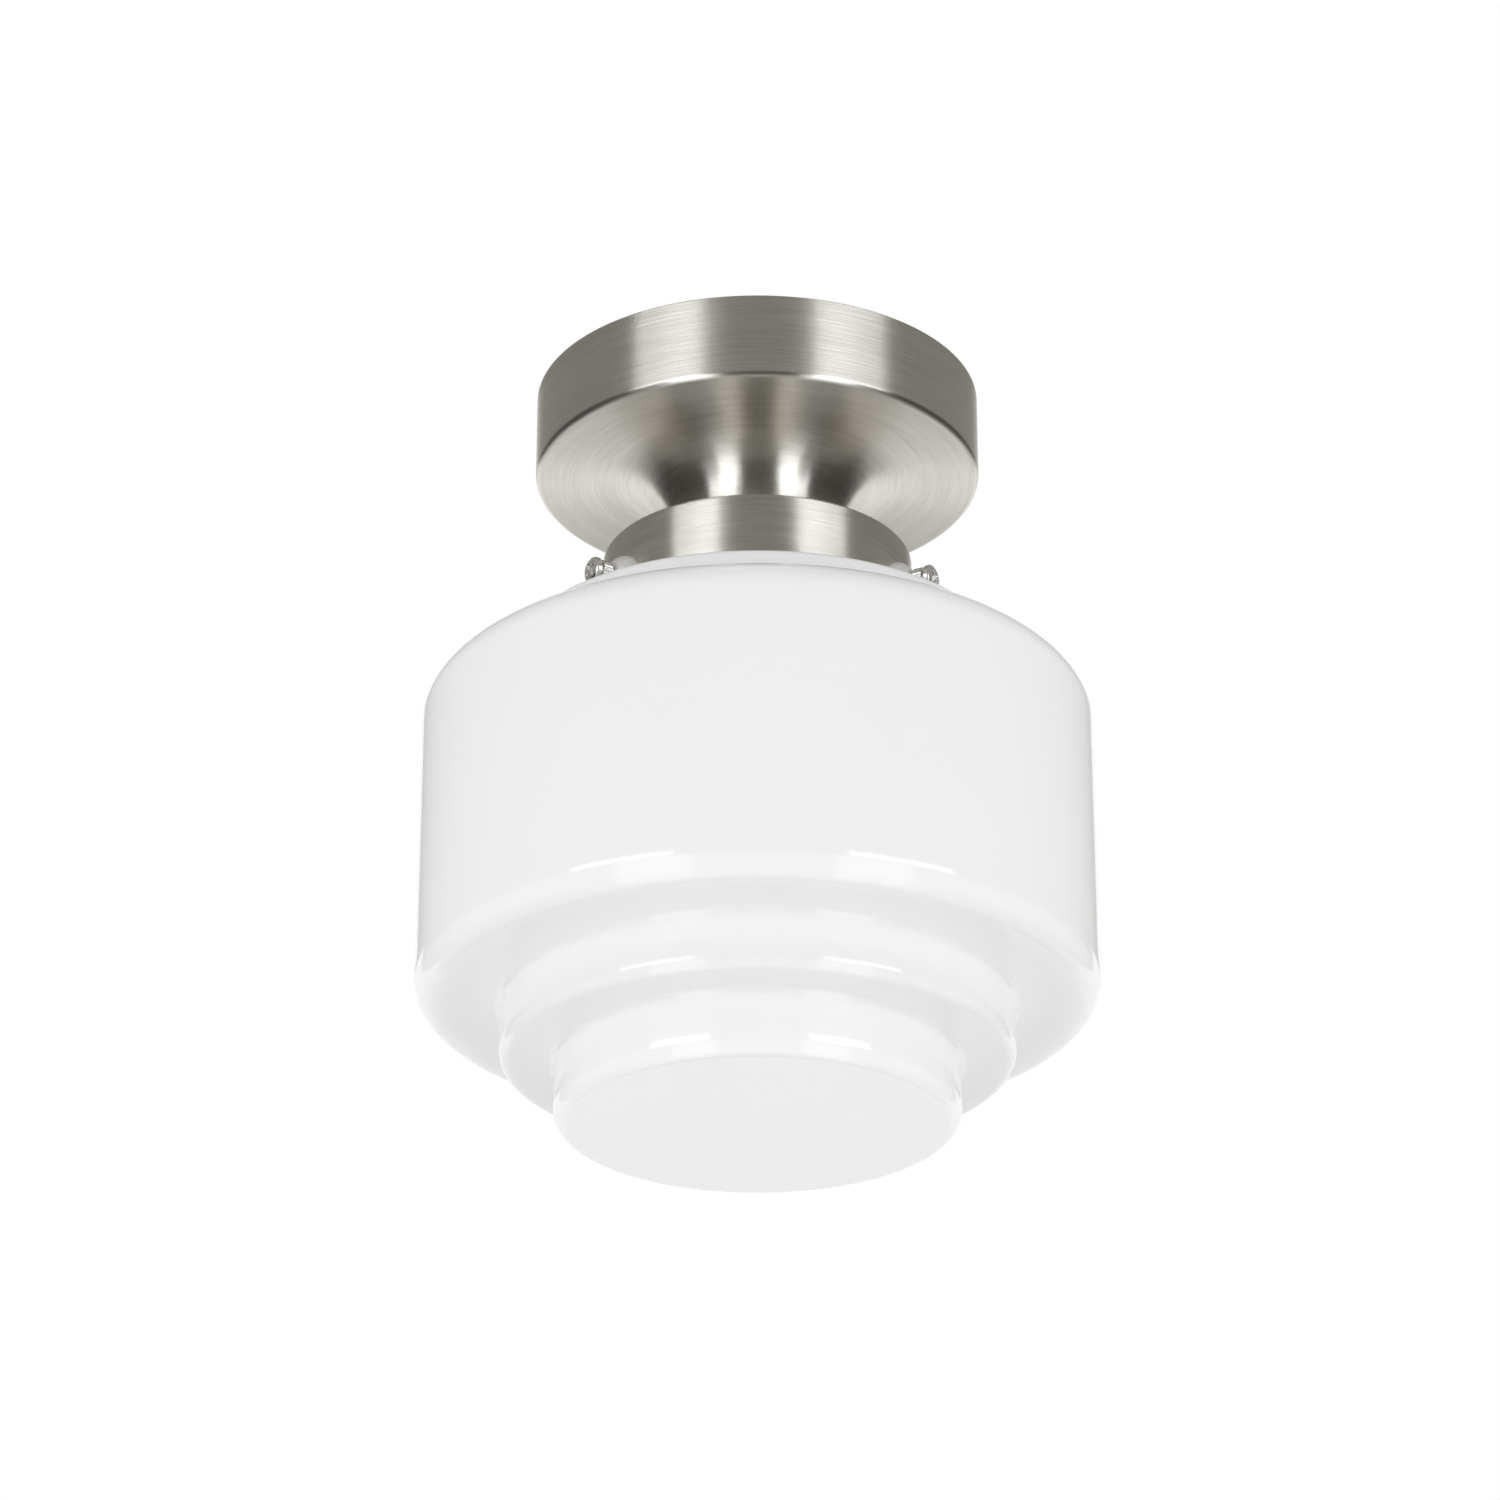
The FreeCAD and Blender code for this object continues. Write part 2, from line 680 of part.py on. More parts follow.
def makeTerminalBlock():
    foot = -(bracketFoot + blockHeight)
    sleeveLevel = -(bracketFoot + sleeveDrop)
    moulding = box("block_moulding", blockWidth, blockLength, blockHeight, blockPlace, 0, foot)
    doc.recompute()
    soft = doc.addObject("Part::Fillet", "block_edges")
    soft.Base = moulding
    edgeRound = number(s.blockRound)
    soft.Edges = [(k, edgeRound, edgeRound) for k, e in enumerate(moulding.Shape.Edges, start=1)
                  if abs(e.tangentAt(e.FirstParameter).z) > 1 - tolerance]
    clampWay = s.clampScrewRadius + s.threadClearance
    screwFoot = foot + s.clampRecess
    screwLength = sleeveLevel + sleeveBore / 2 - screwFoot
    tools = []
    sleeves = []
    screws = []
    for side in bothSides:
        x = blockPlace + side * poleSpacing / 2
        tools.append(cylinder("sleeve_way_%d" % side, sleeveRadius + s.threadClearance,
                              blockLength + 2 * s.overrun, x, -(blockLength / 2 + s.overrun), sleeveLevel, alongY))
        sleeve = cylinder("sleeve_%d" % side, sleeveRadius, s.sleeveLength,
                          x, -s.sleeveLength / 2, sleeveLevel, alongY)
        sleeveTools = [cylinder("sleeve_bore_%d" % side, sleeveBore, s.sleeveLength + 2 * s.overrun,
                                x, -(s.sleeveLength / 2 + s.overrun), sleeveLevel, alongY)]
        for end in bothSides:
            name = "%d_%d" % (side, end)
            y = end * (s.sleeveLength / 2 - s.clampEnd)
            screws.append(cylinder("clamp_screw_" + name, s.clampScrewRadius, screwLength, x, y, screwFoot))
            tools.append(cylinder("clamp_way_" + name, clampWay, sleeveLevel - foot + s.overrun,
                                  x, y, foot - s.overrun))
            sleeveTools.append(cylinder("clamp_hole_" + name, clampWay, sleeveRadius + s.overrun,
                                        x, y, sleeveLevel - sleeveRadius - s.overrun))
        sleeves.append(cut("terminal_sleeve_%d" % side, sleeve, sleeveTools))
    tools.append(cylinder("block_screw_way", s.blockScrewRadius + s.threadClearance,
                          blockHeight + 2 * s.overrun, blockPlace, 0, foot - s.overrun))
    tools.append(cylinder("block_head_way", s.blockScrewHeadRadius + s.locatingClearance,
                          s.blockScrewHeadHeight + s.overrun, blockPlace, 0, foot - s.overrun))
    keep(cut("terminal_block", soft, tools), "terminal_block")
    keep(group("terminal_sleeves", sleeves), "terminal_sleeves")
    keep(group("terminal_screws", screws), "terminal_screws")
    headTop = foot + s.blockScrewHeadHeight
    shankTop = s.blockScrewStand - bracketDrop
    screw = turned("block_screw", [
        (0, shankTop), (s.blockScrewRadius, shankTop), (s.blockScrewRadius, headTop),
        (s.blockScrewHeadRadius, headTop), (s.blockScrewHeadRadius, foot), (0, foot)])
    keep(place(screw, blockPlace), "block_screw")


# Leads: each one runs from a sleeve of the block, over the strap's edge, down the tube and into its contact

def roundPath(points, bend):
    """Straight runs joined by tangent arcs of one bend radius."""
    edges = []
    start = points[0]
    for before, corner, after in zip(points, points[1:], points[2:]):
        back = (before - corner).normalize()
        on = (after - corner).normalize()
        halfTurn = (math.pi - back.getAngle(on)) / 2
        reach = bend * math.tan(halfTurn)
        first = corner + back * reach
        last = corner + on * reach
        middleWay = (back + on).normalize()
        middle = corner + middleWay * (bend / math.cos(halfTurn) - bend)
        edges.append(Part.LineSegment(start, first).toShape())
        edges.append(Part.Arc(first, middle, last).toShape())
        start = last
    edges.append(Part.LineSegment(start, points[-1]).toShape())
    return Part.Wire(edges)


def makeLead(name, side, contactOffset):
    """The lead of one pole: side is its sleeve's side of the block, and of the other lead in the tube."""
    sleeveLevel = -(bracketFoot + sleeveDrop)
    overTube = s.leadOver - tubeHead
    x = blockPlace + side * poleSpacing / 2
    inSleeve = s.leadInset - s.sleeveLength / 2
    out = -(blockLength / 2 + s.leadReach)
    inTube = side * (s.leadRadius + s.leadGap / 2)
    end = contactOffset - side * s.leadEndInset
    points = [
        vector(x, inSleeve, sleeveLevel),
        vector(x, out, sleeveLevel),
        vector(x, out, overTube),
        vector(inTube, 0, overTube),
        vector(inTube, 0, wireLevel),
        vector(end, 0, wireLevel),
    ]
    wire = roundPath(points, number(s.leadBend))
    ring = Part.Wire(Part.Circle(points[0], points[1] - points[0], number(s.leadRadius)).toShape())
    pipe = wire.makePipeShell([ring], True, False)
    item = doc.addObject("Part::Feature", name)
    item.Shape = pipe
    expected = math.pi * number(s.leadRadius) ** 2 * wire.Length
    print(name, "length", round(wire.Length, 1), "bend", number(s.leadBend),
          "volume share", round(pipe.Volume / expected, 4))
    keep(item, name)


# Thumb screws and the soft tips in their ends

def makeScrews():
    tipStart = glassNeckRadius + s.tipGap
    tipWay = s.tipRadius + s.threadClearance
    tipLength = screwInner + s.tipSocket - tipStart
    neck = bushOuter + s.screwHeadGap - screwInner
    face = neck + s.screwHeadLength
    plus = s.recessHalfLength
    thin = s.recessHalfWidth
    for i, angle in enumerate(screwAngles, start=1):
        name = "thumb_screw_%d" % i
        body = turned(name, [
            (tipWay, 0), (s.screwRadius, 0), (s.screwRadius, neck), (s.screwHeadRadius, neck),
            (s.screwHeadRadius, face), (0, face), (0, s.tipSocket), (tipWay, s.tipSocket)])
        rounded(body, s.screwHeadRound, [(s.screwHeadRadius, face)])
        cross = body.newObject("PartDesign::Pocket", name + "_recess")
        cross.Profile = outline(body, "XY_Plane", [
            (plus, thin), (thin, thin), (thin, plus), (-thin, plus), (-thin, thin), (-plus, thin),
            (-plus, -thin), (-thin, -thin), (-thin, -plus), (thin, -plus), (thin, -thin), (plus, -thin)], face)
        bind(cross, "Length", s.recessDeep)
        doc.recompute()
        keep(radial(body, angle, screwInner), name)
        tip = turned("screw_tip_%d" % i, [(0, 0), (s.tipRadius, 0), (s.tipRadius, tipLength), (0, tipLength)])
        rounded(tip, s.tipRadius / 2, [(s.tipRadius, 0)])
        keep(radial(tip, angle, tipStart), "screw_tip_%d" % i)


# Glass shade: one blown opal glass, lipped neck, stepped top, drum, two steps below

def makeShade():
    wall = s.glassWall
    neck = glassNeckRadius
    bore = neck - wall
    drum = s.drumRadius
    ringInside = ringRadius - wall
    drumInside = drum - wall
    upperInside = upperStepRadius - wall
    lowerInside = lowerStepRadius - wall
    ringRoof = -(ringTop + wall)
    drumRoof = -(shoulderDepth + wall)
    drumFloor = wall - drumFoot
    upperFloor = wall - upperStepFoot
    lowerFloor = wall - lowerStepFoot
    body = turned("glass_shade", [
        (bore, -lipTop), (lipRadius, -lipTop), (lipRadius, -lipFoot), (neck, -(lipFoot + s.lipStand)),
        (neck, -ringTop), (ringRadius, -ringTop), (ringRadius, -shoulderDepth), (drum, -shoulderDepth),
        (drum, -drumFoot), (upperStepRadius, -drumFoot), (upperStepRadius, -upperStepFoot),
        (lowerStepRadius, -upperStepFoot), (lowerStepRadius, -lowerStepFoot), (0, -lowerStepFoot),
        (0, lowerFloor), (lowerInside, lowerFloor), (lowerInside, upperFloor), (upperInside, upperFloor),
        (upperInside, drumFloor), (drumInside, drumFloor), (drumInside, drumRoof), (ringInside, drumRoof),
        (ringInside, ringRoof), (bore, ringRoof)])
    corner = s.innerCornerRound
    rounded(body, s.lipRound, [(lipRadius, -lipTop), (lipRadius, -lipFoot)])
    rounded(body, s.glassNeckRound, [(neck, -ringTop)])
    rounded(body, s.glassNeckRound + wall, [(bore, ringRoof)])
    rounded(body, s.ringRound, [(ringRadius, -ringTop)])
    rounded(body, corner, [(ringRadius, -shoulderDepth), (upperStepRadius, -drumFoot),
                           (lowerStepRadius, -upperStepFoot)])
    rounded(body, corner + wall, [(ringInside, drumRoof), (upperInside, drumFloor), (lowerInside, upperFloor)])
    rounded(body, s.shoulderRound, [(drum, -shoulderDepth)])
    rounded(body, s.shoulderRound - wall, [(drumInside, drumRoof)])
    rounded(body, s.drumFootRound, [(drum, -drumFoot)])
    rounded(body, s.drumFootRound - wall, [(drumInside, drumFloor)])
    rounded(body, s.upperStepRound, [(upperStepRadius, -upperStepFoot)])
    rounded(body, s.lowerStepRound, [(lowerStepRadius, -lowerStepFoot)])
    rounded(body, s.lowerStepRound - wall, [(lowerInside, lowerFloor)])
    keep(body, "glass_shade")


# Lampholder: cap with a threaded neck, core with the contacts, skirt and brass shell

def makeHolder():
    roofStart = holderNeckTop + s.holderNeckHeight
    roofEnd = roofStart + s.holderRoofRise
    underRoof = roofStart + s.holderWall
    roofFall = s.holderRoofRise * (holderInside - holderNeckRadius) / (holderRadius - holderNeckRadius)
    capBody = turned("holder_cap_turned", [
        (tubeWay, -holderNeckTop), (holderNeckRadius, -holderNeckTop), (holderNeckRadius, -roofStart),
        (holderRadius, -roofEnd), (holderRadius, -holderJoint), (holderInside, -holderJoint),
        (holderInside, -(underRoof + roofFall)), (holderNeckRadius, -underRoof),
        (holderNeckRadius, -tubeFoot), (tubeWay, -tubeFoot)])
    rounded(capBody, s.holderWall, [(holderRadius, -roofEnd)])
    grubLevel = -(holderNeckTop + s.holderNeckHeight / 2)
    grubWay = cylinder("grub_way", s.grubRadius + s.threadClearance, holderNeckRadius, 0, 0, grubLevel, alongX)
    keep(cut("lampholder_cap", capBody, [grubWay]), "lampholder_cap")
    grub = cylinder("grub_screw", s.grubRadius, holderNeckRadius - tubeWay, tubeWay, 0, grubLevel, alongX)
    keep(grub, "grub_screw")

    holderFoot = holderJoint + s.skirtLength
    mouthOuter = holderRadius - s.skirtTaper
    mouth = mouthOuter - s.holderWall
    skirt = turned("lampholder_skirt", [
        (holderRadius, -holderJoint), (mouthOuter, -holderFoot), (mouth, -holderFoot),
        (ledgeRadius, -coreFoot), (holderInside, -coreFoot), (holderInside, -holderJoint)])
    rounded(skirt, s.softEdge, [(mouthOuter, -holderFoot), (mouth, -holderFoot)])
    keep(skirt, "lampholder_skirt")

    core = cylinder("core_disc", coreRadius, s.coreHeight, z=-coreFoot)
    slots = []
    for name, offset in (("live", liveOffset), ("neutral", neutralOffset)):
        slots.append(box("core_slot_" + name, s.contactSheet + 2 * s.threadClearance,
                         s.contactWidth + 2 * s.threadClearance, s.coreHeight + 2 * s.overrun,
                         offset, 0, -(coreFoot + s.overrun)))
    keep(cut("lampholder_core", core, slots), "lampholder_core")


def threadPoints(start, turns, outer, inner):
    """Corners of a rolled round thread, as rings of one pitch, going down from start."""
    points = []
    for i in range(turns):
        points.append((inner, -(start + i * s.threadPitch)))
        points.append((outer, -(start + (i + 0.5) * s.threadPitch)))
    points.append((inner, -(start + turns * s.threadPitch)))
    return points


def makeShell():
    """The brass screw shell, hung on its flange under the core."""
    inner = s.shellRadius
    outer = inner + s.shellSheet
    flange = ledgeRadius - s.flangeGap
    inside = threadPoints(coreFoot + s.threadPitch, shellTurns, inner + s.threadHeight, inner)
    outside = [(r + s.shellSheet, z) for r, z in inside]
    under = -(coreFoot + s.shellSheet)
    foot = -(coreFoot + (shellTurns + 1) * s.threadPitch + s.shellMouth)
    body = turned("socket_shell", [
        (inner, -coreFoot), (flange, -coreFoot), (flange, under), (outer, under)] + outside
        + [(outer, foot), (inner, foot)] + inside[::-1])
    keep(body, "socket_shell")


def makeContact(name, offset, side, legDrop, tongueReach=None):
    """A clamp block on the core, a leg through its slot and, on the live pole, a spring tongue under the pip."""
    legFoot = -(coreFoot + legDrop)
    pieces = [
        box(name + "_clamp", s.clampBlockLength, s.clampBlockWidth, s.clampBlockHeight, offset, 0, -coreTop),
        box(name + "_leg", s.contactSheet, s.contactWidth, -coreTop - legFoot, offset, 0, legFoot)]
    if tongueReach is not None:
        middle = offset + s.contactSheet / 2 - tongueReach / 2
        pieces.append(box(name + "_tongue", tongueReach, s.contactWidth, s.contactSheet, middle, 0, legFoot))
    wayStart = offset - s.clampBlockLength / 2 - side * s.overrun
    wireWay = cylinder(name + "_way", s.leadRadius + s.clampWayClearance, s.clampBlockLength,
                       wayStart, 0, wireLevel, alongX)
    keep(cut(name, fuse(name + "_solid", pieces), [wireWay]), name)
    return cylinder(name + "_screw", s.contactScrewRadius, s.contactScrewHeight,
                    offset, 0, s.clampBlockHeight - coreTop)


def makeContacts():
    live = makeContact("live_contact", liveOffset, 1, s.contactSpring, liveOffset + s.pipRadius / 2)
    neutral = makeContact("neutral_contact", neutralOffset, -1, 0)
    keep(group("contact_screws", [live, neutral]), "contact_screws")


# Bulb: contact pip, insulator, rolled screw cap, housing and globe

def makeBulb():
    pipTop = coreFoot + s.contactSpring + s.contactGap
    insulatorTop = pipTop + s.pipHeight
    capTop = insulatorTop + s.insulatorHeight
    capFoot = capTop + capTurns * s.threadPitch + s.capCollar
    pip = turned("bulb_pip", [
        (0, -pipTop), (s.pipRadius, -pipTop), (s.pipRadius, -insulatorTop), (0, -insulatorTop)])
    rounded(pip, s.pipHeight / 2, [(s.pipRadius, -pipTop)])
    keep(pip, "bulb_pip")
    insulator = turned("bulb_insulator", [
        (0, -insulatorTop), (s.pipRadius + s.insulatorRim, -insulatorTop),
        (capRoot - s.insulatorInset, -capTop), (0, -capTop)])
    keep(insulator, "bulb_insulator")
    rings = threadPoints(capTop, capTurns, capRadius, capRoot)
    bulbCap = turned("bulb_cap", [(0, -capTop)] + rings + [(capRoot, -capFoot), (0, -capFoot)])
    keep(bulbCap, "bulb_cap")

    waist = capFoot + s.waistLength
    rim = waist + s.housingLength
    globeTop = rim + s.housingRim
    housingRadius = s.globeRadius - s.housingStep
    waistRadius = capRadius + s.waistStand
    housing = turned("bulb_housing", [
        (0, -capFoot), (capRoot, -capFoot), (waistRadius, -waist), (housingRadius, -rim),
        (housingRadius, -globeTop), (0, -globeTop)])
    rounded(housing, s.waistRound, [(waistRadius, -waist)])
    keep(housing, "bulb_housing")
    centre = globeTop + root(s.globeRadius * s.globeRadius - housingRadius * housingRadius)
    balls = []
    for name, radius in (("globe_outer", s.globeRadius), ("globe_inner", s.globeRadius - s.globeWall)):
        ball = doc.addObject("Part::Sphere", name)
        bind(ball, "Radius", radius)
        balls.append(place(ball, z=-centre))
    crown = cylinder("globe_crown", s.globeRadius + s.overrun, 2 * s.globeRadius, z=-globeTop)
    keep(cut("bulb_globe", balls[0], [balls[1], crown]), "bulb_globe")


makeCanopy()
makeGallery()
makeBushes()
makeTube()
makeBracket()
makeEarth()
makeTerminalBlock()
makeLead("lead_live", 1, liveOffset)
makeLead("lead_neutral", -1, neutralOffset)
makeScrews()
makeShade()
makeHolder()
makeShell()
makeContacts()
makeBulb()
doc.recompute()

for item in doc.Objects:
    if "Invalid" in item.State or "Error" in item.State:
        raise RuntimeError("%s failed: %s" % (item.Name, item.State))
for label, item in nodes:
    if item.Shape.isNull() or not item.Shape.isValid() or not item.Shape.Solids:
        raise RuntimeError("%s has no sound solid" % label)

os.makedirs("parts", exist_ok=True)
for label, item in nodes:
    item.Shape.exportStep("parts/%s.step" % label)
    print("%-18s solids %d  volume %10.1f" % (label, len(item.Shape.Solids), item.Shape.Volume))
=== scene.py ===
import json
import math

import bpy
import numpy as np
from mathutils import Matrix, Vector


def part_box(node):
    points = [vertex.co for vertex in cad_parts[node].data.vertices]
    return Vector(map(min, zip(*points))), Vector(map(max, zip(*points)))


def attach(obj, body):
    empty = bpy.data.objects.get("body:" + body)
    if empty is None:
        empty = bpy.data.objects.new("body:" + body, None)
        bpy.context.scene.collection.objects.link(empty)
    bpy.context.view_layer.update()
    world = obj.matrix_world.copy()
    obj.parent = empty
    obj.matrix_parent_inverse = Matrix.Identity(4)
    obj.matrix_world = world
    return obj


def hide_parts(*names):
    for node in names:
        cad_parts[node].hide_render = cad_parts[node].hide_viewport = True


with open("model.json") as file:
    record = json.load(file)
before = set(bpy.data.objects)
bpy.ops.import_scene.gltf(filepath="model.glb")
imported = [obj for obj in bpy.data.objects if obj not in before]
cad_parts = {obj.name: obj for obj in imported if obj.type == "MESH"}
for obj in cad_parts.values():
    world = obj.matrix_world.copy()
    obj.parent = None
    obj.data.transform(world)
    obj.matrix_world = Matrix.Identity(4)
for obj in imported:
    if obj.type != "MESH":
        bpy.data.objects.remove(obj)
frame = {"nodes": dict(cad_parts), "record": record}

# Semi-flush ceiling light: brushed nickel canopy and gallery, stepped opal glass on three thumb screws.
# Metres, origin in the ceiling plane on the lamp's axis, +Z up. The dictionaries of the pieces and of the
# camera hold millimetres and degrees, those of the finishes and of the studio metres and degrees.

mm = 0.001
hair = 1e-4            # in mm: closer places count as the same
up = np.array([0, 0, 1.0])
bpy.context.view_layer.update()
parts = frame["nodes"]


# Surfaces

supportReach = 0.35    # support points beside a rounding, as a share of its radius
supportShare = 0.3     # and at most this share of the straight run that is left
leastSupport = 0.01


def roundedProfile(corners, arcSteps, closed=True):
    # Corners are (radius, height, rounding) in mm, anticlockwise. Each corner C becomes the arc
    # centre + (sin((1-t)a) u + sin(ta) w) / sin(a) between its two tangent points, with one support
    # point on each straight run just before and after the arc.
    points = np.array([corner[:2] for corner in corners], float)
    rows = []
    count = len(corners)
    for i, (radius, height, rounding) in enumerate(corners):
        here = points[i]
        if rounding == 0 or (not closed and i in (0, count - 1)):
            rows.append(here[None])
            continue
        back = points[i - 1] - here
        on = points[(i + 1) % count] - here
        backLength = np.linalg.norm(back)
        onLength = np.linalg.norm(on)
        back = back / backLength
        on = on / onLength
        half = math.acos(np.clip(back @ on, -1, 1)) / 2
        reach = rounding / math.tan(half)
        centre = here + (back + on) / np.linalg.norm(back + on) * rounding / math.sin(half)
        u = here + back * reach - centre
        w = here + on * reach - centre
        turn = math.pi - 2 * half
        t = np.linspace(0, 1, arcSteps + 1)[:, None]
        arc = centre + (np.sin((1 - t) * turn) * u + np.sin(t * turn) * w) / math.sin(turn)
        spare = min(supportReach * rounding, supportShare * (backLength - reach),
                    supportShare * (onLength - reach))
        if spare > leastSupport:
            arc = np.vstack([here + back * (reach + spare), arc, here + on * (reach + spare)])
        rows.append(arc)
    return np.vstack(rows) * mm


def lathe(profile, around, closed=True):
    # Turns a profile about Z: (r cos a, r sin a, z). An open profile starts and ends on the axis,
    # where its first and last points become single pole vertices.
    angle = np.arange(around) * 2 * math.pi / around
    rings = profile if closed else profile[1:-1]
    radius = rings[:, :1]
    height = np.repeat(rings[:, 1:], around, axis=1)
    grid = np.stack([radius * np.cos(angle), radius * np.sin(angle), height], axis=-1).reshape(-1, 3)
    rows = len(rings)
    i = np.arange(rows if closed else rows - 1)[:, None]
    j = np.arange(around)[None, :]
    nextRow = (i + 1) % rows
    nextColumn = (j + 1) % around
    quads = np.stack([i * around + j, i * around + nextColumn,
                      nextRow * around + nextColumn, nextRow * around + j], axis=-1).reshape(-1, 4)
    faces = quads.tolist()
    if not closed:
        poles = np.array([[0, 0, profile[0, 1]], [0, 0, profile[-1, 1]]])
        first = rows * around
        last = (rows - 1) * around
        ring = np.arange(around)
        turned = (ring + 1) % around
        faces += np.stack([np.full(around, first), turned, ring], axis=-1).tolist()
        faces += np.stack([last + ring, last + turned, np.full(around, first + 1)], axis=-1).tolist()
        grid = np.vstack([grid, poles])
    return grid, faces


def makePiece(name, points, faces, body, slot, replaced, look=None):
    # A smooth-shaded mesh that rides a body in the place of one CAD node.
    mesh = bpy.data.meshes.new(name)
    mesh.from_pydata(points.tolist(), [], faces)
    mesh.polygons.foreach_set("use_smooth", np.ones(len(mesh.polygons), bool))
    mesh.materials.append(looks[slot] if look is None else look)
    mesh.update()
    piece = bpy.data.objects.new(name, mesh)
    bpy.context.scene.collection.objects.link(piece)
    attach(piece, body)
    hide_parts(replaced)


# Shader maths

class Term:
    # One output socket. Sums and products on it add Math nodes.
    def __init__(self, look, socket):
        self.look = look
        self.socket = socket

    def math(self, operation, first, second):
        return self.look.add("ShaderNodeMath", {"operation": operation}, {0: first, 1: second})

    def __add__(self, other):
        return self.math("ADD", self, other)

    def __radd__(self, other):
        return self.math("ADD", other, self)

    def __sub__(self, other):
        return self.math("SUBTRACT", self, other)

    def __rsub__(self, other):
        return self.math("SUBTRACT", other, self)

    def __mul__(self, other):
        return self.math("MULTIPLY", self, other)

    def __rmul__(self, other):
        return self.math("MULTIPLY", other, self)

    def __truediv__(self, other):
        return self.math("DIVIDE", self, other)

    def __rtruediv__(self, other):
        return self.math("DIVIDE", other, self)

    def __pow__(self, other):
        return self.math("POWER", self, other)

    def __rpow__(self, other):
        return self.math("POWER", other, self)


class Look:
    # A node tree, of a material or of the world.
    def __init__(self, owner):
        owner.use_nodes = True
        self.owner = owner
        self.tree = owner.node_tree
        self.tree.nodes.clear()

    def add(self, kind, settings=None, sockets=None, output=0):
        # A node of this kind: first its settings, then a value or a link for each named socket.
        node = self.tree.nodes.new(kind)
        for key, value in (settings or {}).items():
            setattr(node, key, value)
        for key, value in (sockets or {}).items():
            if isinstance(value, Term):
                self.tree.links.new(value.socket, node.inputs[key])
            else:
                node.inputs[key].default_value = value
        return Term(self, node.outputs[output]) if node.outputs else None

    def noise(self, place, scale, detail=2.0, roughness=0.5, fourth=None):
        settings = {"noise_dimensions": "3D" if fourth is None else "4D"}
        sockets = {"Vector": place, "Scale": scale, "Detail": detail, "Roughness": roughness}
        if fourth is not None:
            sockets["W"] = fourth
        return self.add("ShaderNodeTexNoise", settings, sockets)

    def mix(self, factor, dark, light):
        settings = {"data_type": "RGBA", "clamp_factor": True}
        return self.add("ShaderNodeMix", settings, {0: factor, 6: dark, 7: light}, output=2)

    def bump(self, height, distance):
        return self.add("ShaderNodeBump", {}, {"Height": height, "Distance": distance, "Strength": 1.0})

    def place(self):
        return self.add("ShaderNodeTexCoord", output=3)    # Object coordinates

    def split(self, vector):
        node = self.add("ShaderNodeSeparateXYZ", {}, {0: vector}).socket.node
        return [Term(self, output) for output in node.outputs]

    def surface(self, **sockets):
        # Names are the shader's own, with underscores for spaces.
        named = {key.replace("_", " "): value for key, value in sockets.items()}
        shader = self.add("ShaderNodeBsdfPrincipled", {}, named)
        self.add("ShaderNodeOutputMaterial", {}, {"Surface": shader})
        return self.owner


def newLook(name):
    return Look(bpy.data.materials.new(name))


def tint(colour, share=1.0):
    return [channel * share for channel in colour] + [1.0]


# Brushed nickel: fine rings left by a pad held against the spinning shell

brushedNickel = {
    "colour": (0.800, 0.775, 0.715),
    "dark": 0.80, "light": 1.16,       # shares of the colour in and between the strokes
    "contrast": 1.9,
    "roughness": 0.33,
    "roughFine": 0.06, "roughWear": 0.04,
    "anisotropy": 0.95,
    "anisotropicTurn": 0.25,
    "lineScale": 1900.0,       # rings per metre across the brushing
    "broadScale": 380.0,
    "turnShare": 3.0,          # how soon a stroke ends on its way round
    "broadTurn": 0.6,          # the same for the broad strokes, as a share of it
    "grain": 0.6,
    "wearScale": 45.0,
    "fineShare": 0.55, "broadShare": 0.30, "wearShare": 0.15,
    "depth": 0.00009,
    "reliefFine": 0.7, "reliefBroad": 0.3,
}


def brushedMetal(name, values):
    # Noise over (r, z, cos a, sin a), fast across the strokes and slow along them.
    v = values
    look = newLook(name)
    x, y, z = look.split(look.place())
    radius = (x * x + y * y) ** 0.5
    cosine = x / radius
    sine = y / radius

    def strokes(scale, turn, detail):
        lines = look.add("ShaderNodeCombineXYZ", {}, {0: radius * scale, 1: z * scale, 2: cosine * turn})
        return look.noise(lines, 1.0, detail, v["grain"], sine * turn)

    fine = strokes(v["lineScale"], v["turnShare"], 2.0)
    broad = strokes(v["broadScale"], v["turnShare"] * v["broadTurn"], 1.0)
    wear = look.noise(look.place(), v["wearScale"], 3.0)
    mixed = fine * v["fineShare"] + broad * v["broadShare"] + wear * v["wearShare"]
    shade = (mixed - 0.5) * v["contrast"] + 0.5
    colour = look.mix(shade, tint(v["colour"], v["dark"]), tint(v["colour"], v["light"]))
    smooth = v["roughness"] - (v["roughFine"] + v["roughWear"]) / 2
    rough = smooth + fine * v["roughFine"] + wear * v["roughWear"]
    relief = look.bump(fine * v["reliefFine"] + broad * v["reliefBroad"], v["depth"])
    return look.surface(Base_Color=colour, Metallic=1.0, Roughness=rough, Anisotropic=v["anisotropy"],
                        Anisotropic_Rotation=v["anisotropicTurn"], Normal=relief)


# Plated and plain metals, with a faint cloud of handling marks

handling = {
    "cloudScale": 60.0,
    "cloudShare": 0.6, "fineShare": 0.4,
    "dark": 0.88, "light": 1.1,
    "roughSwing": 0.12,
}


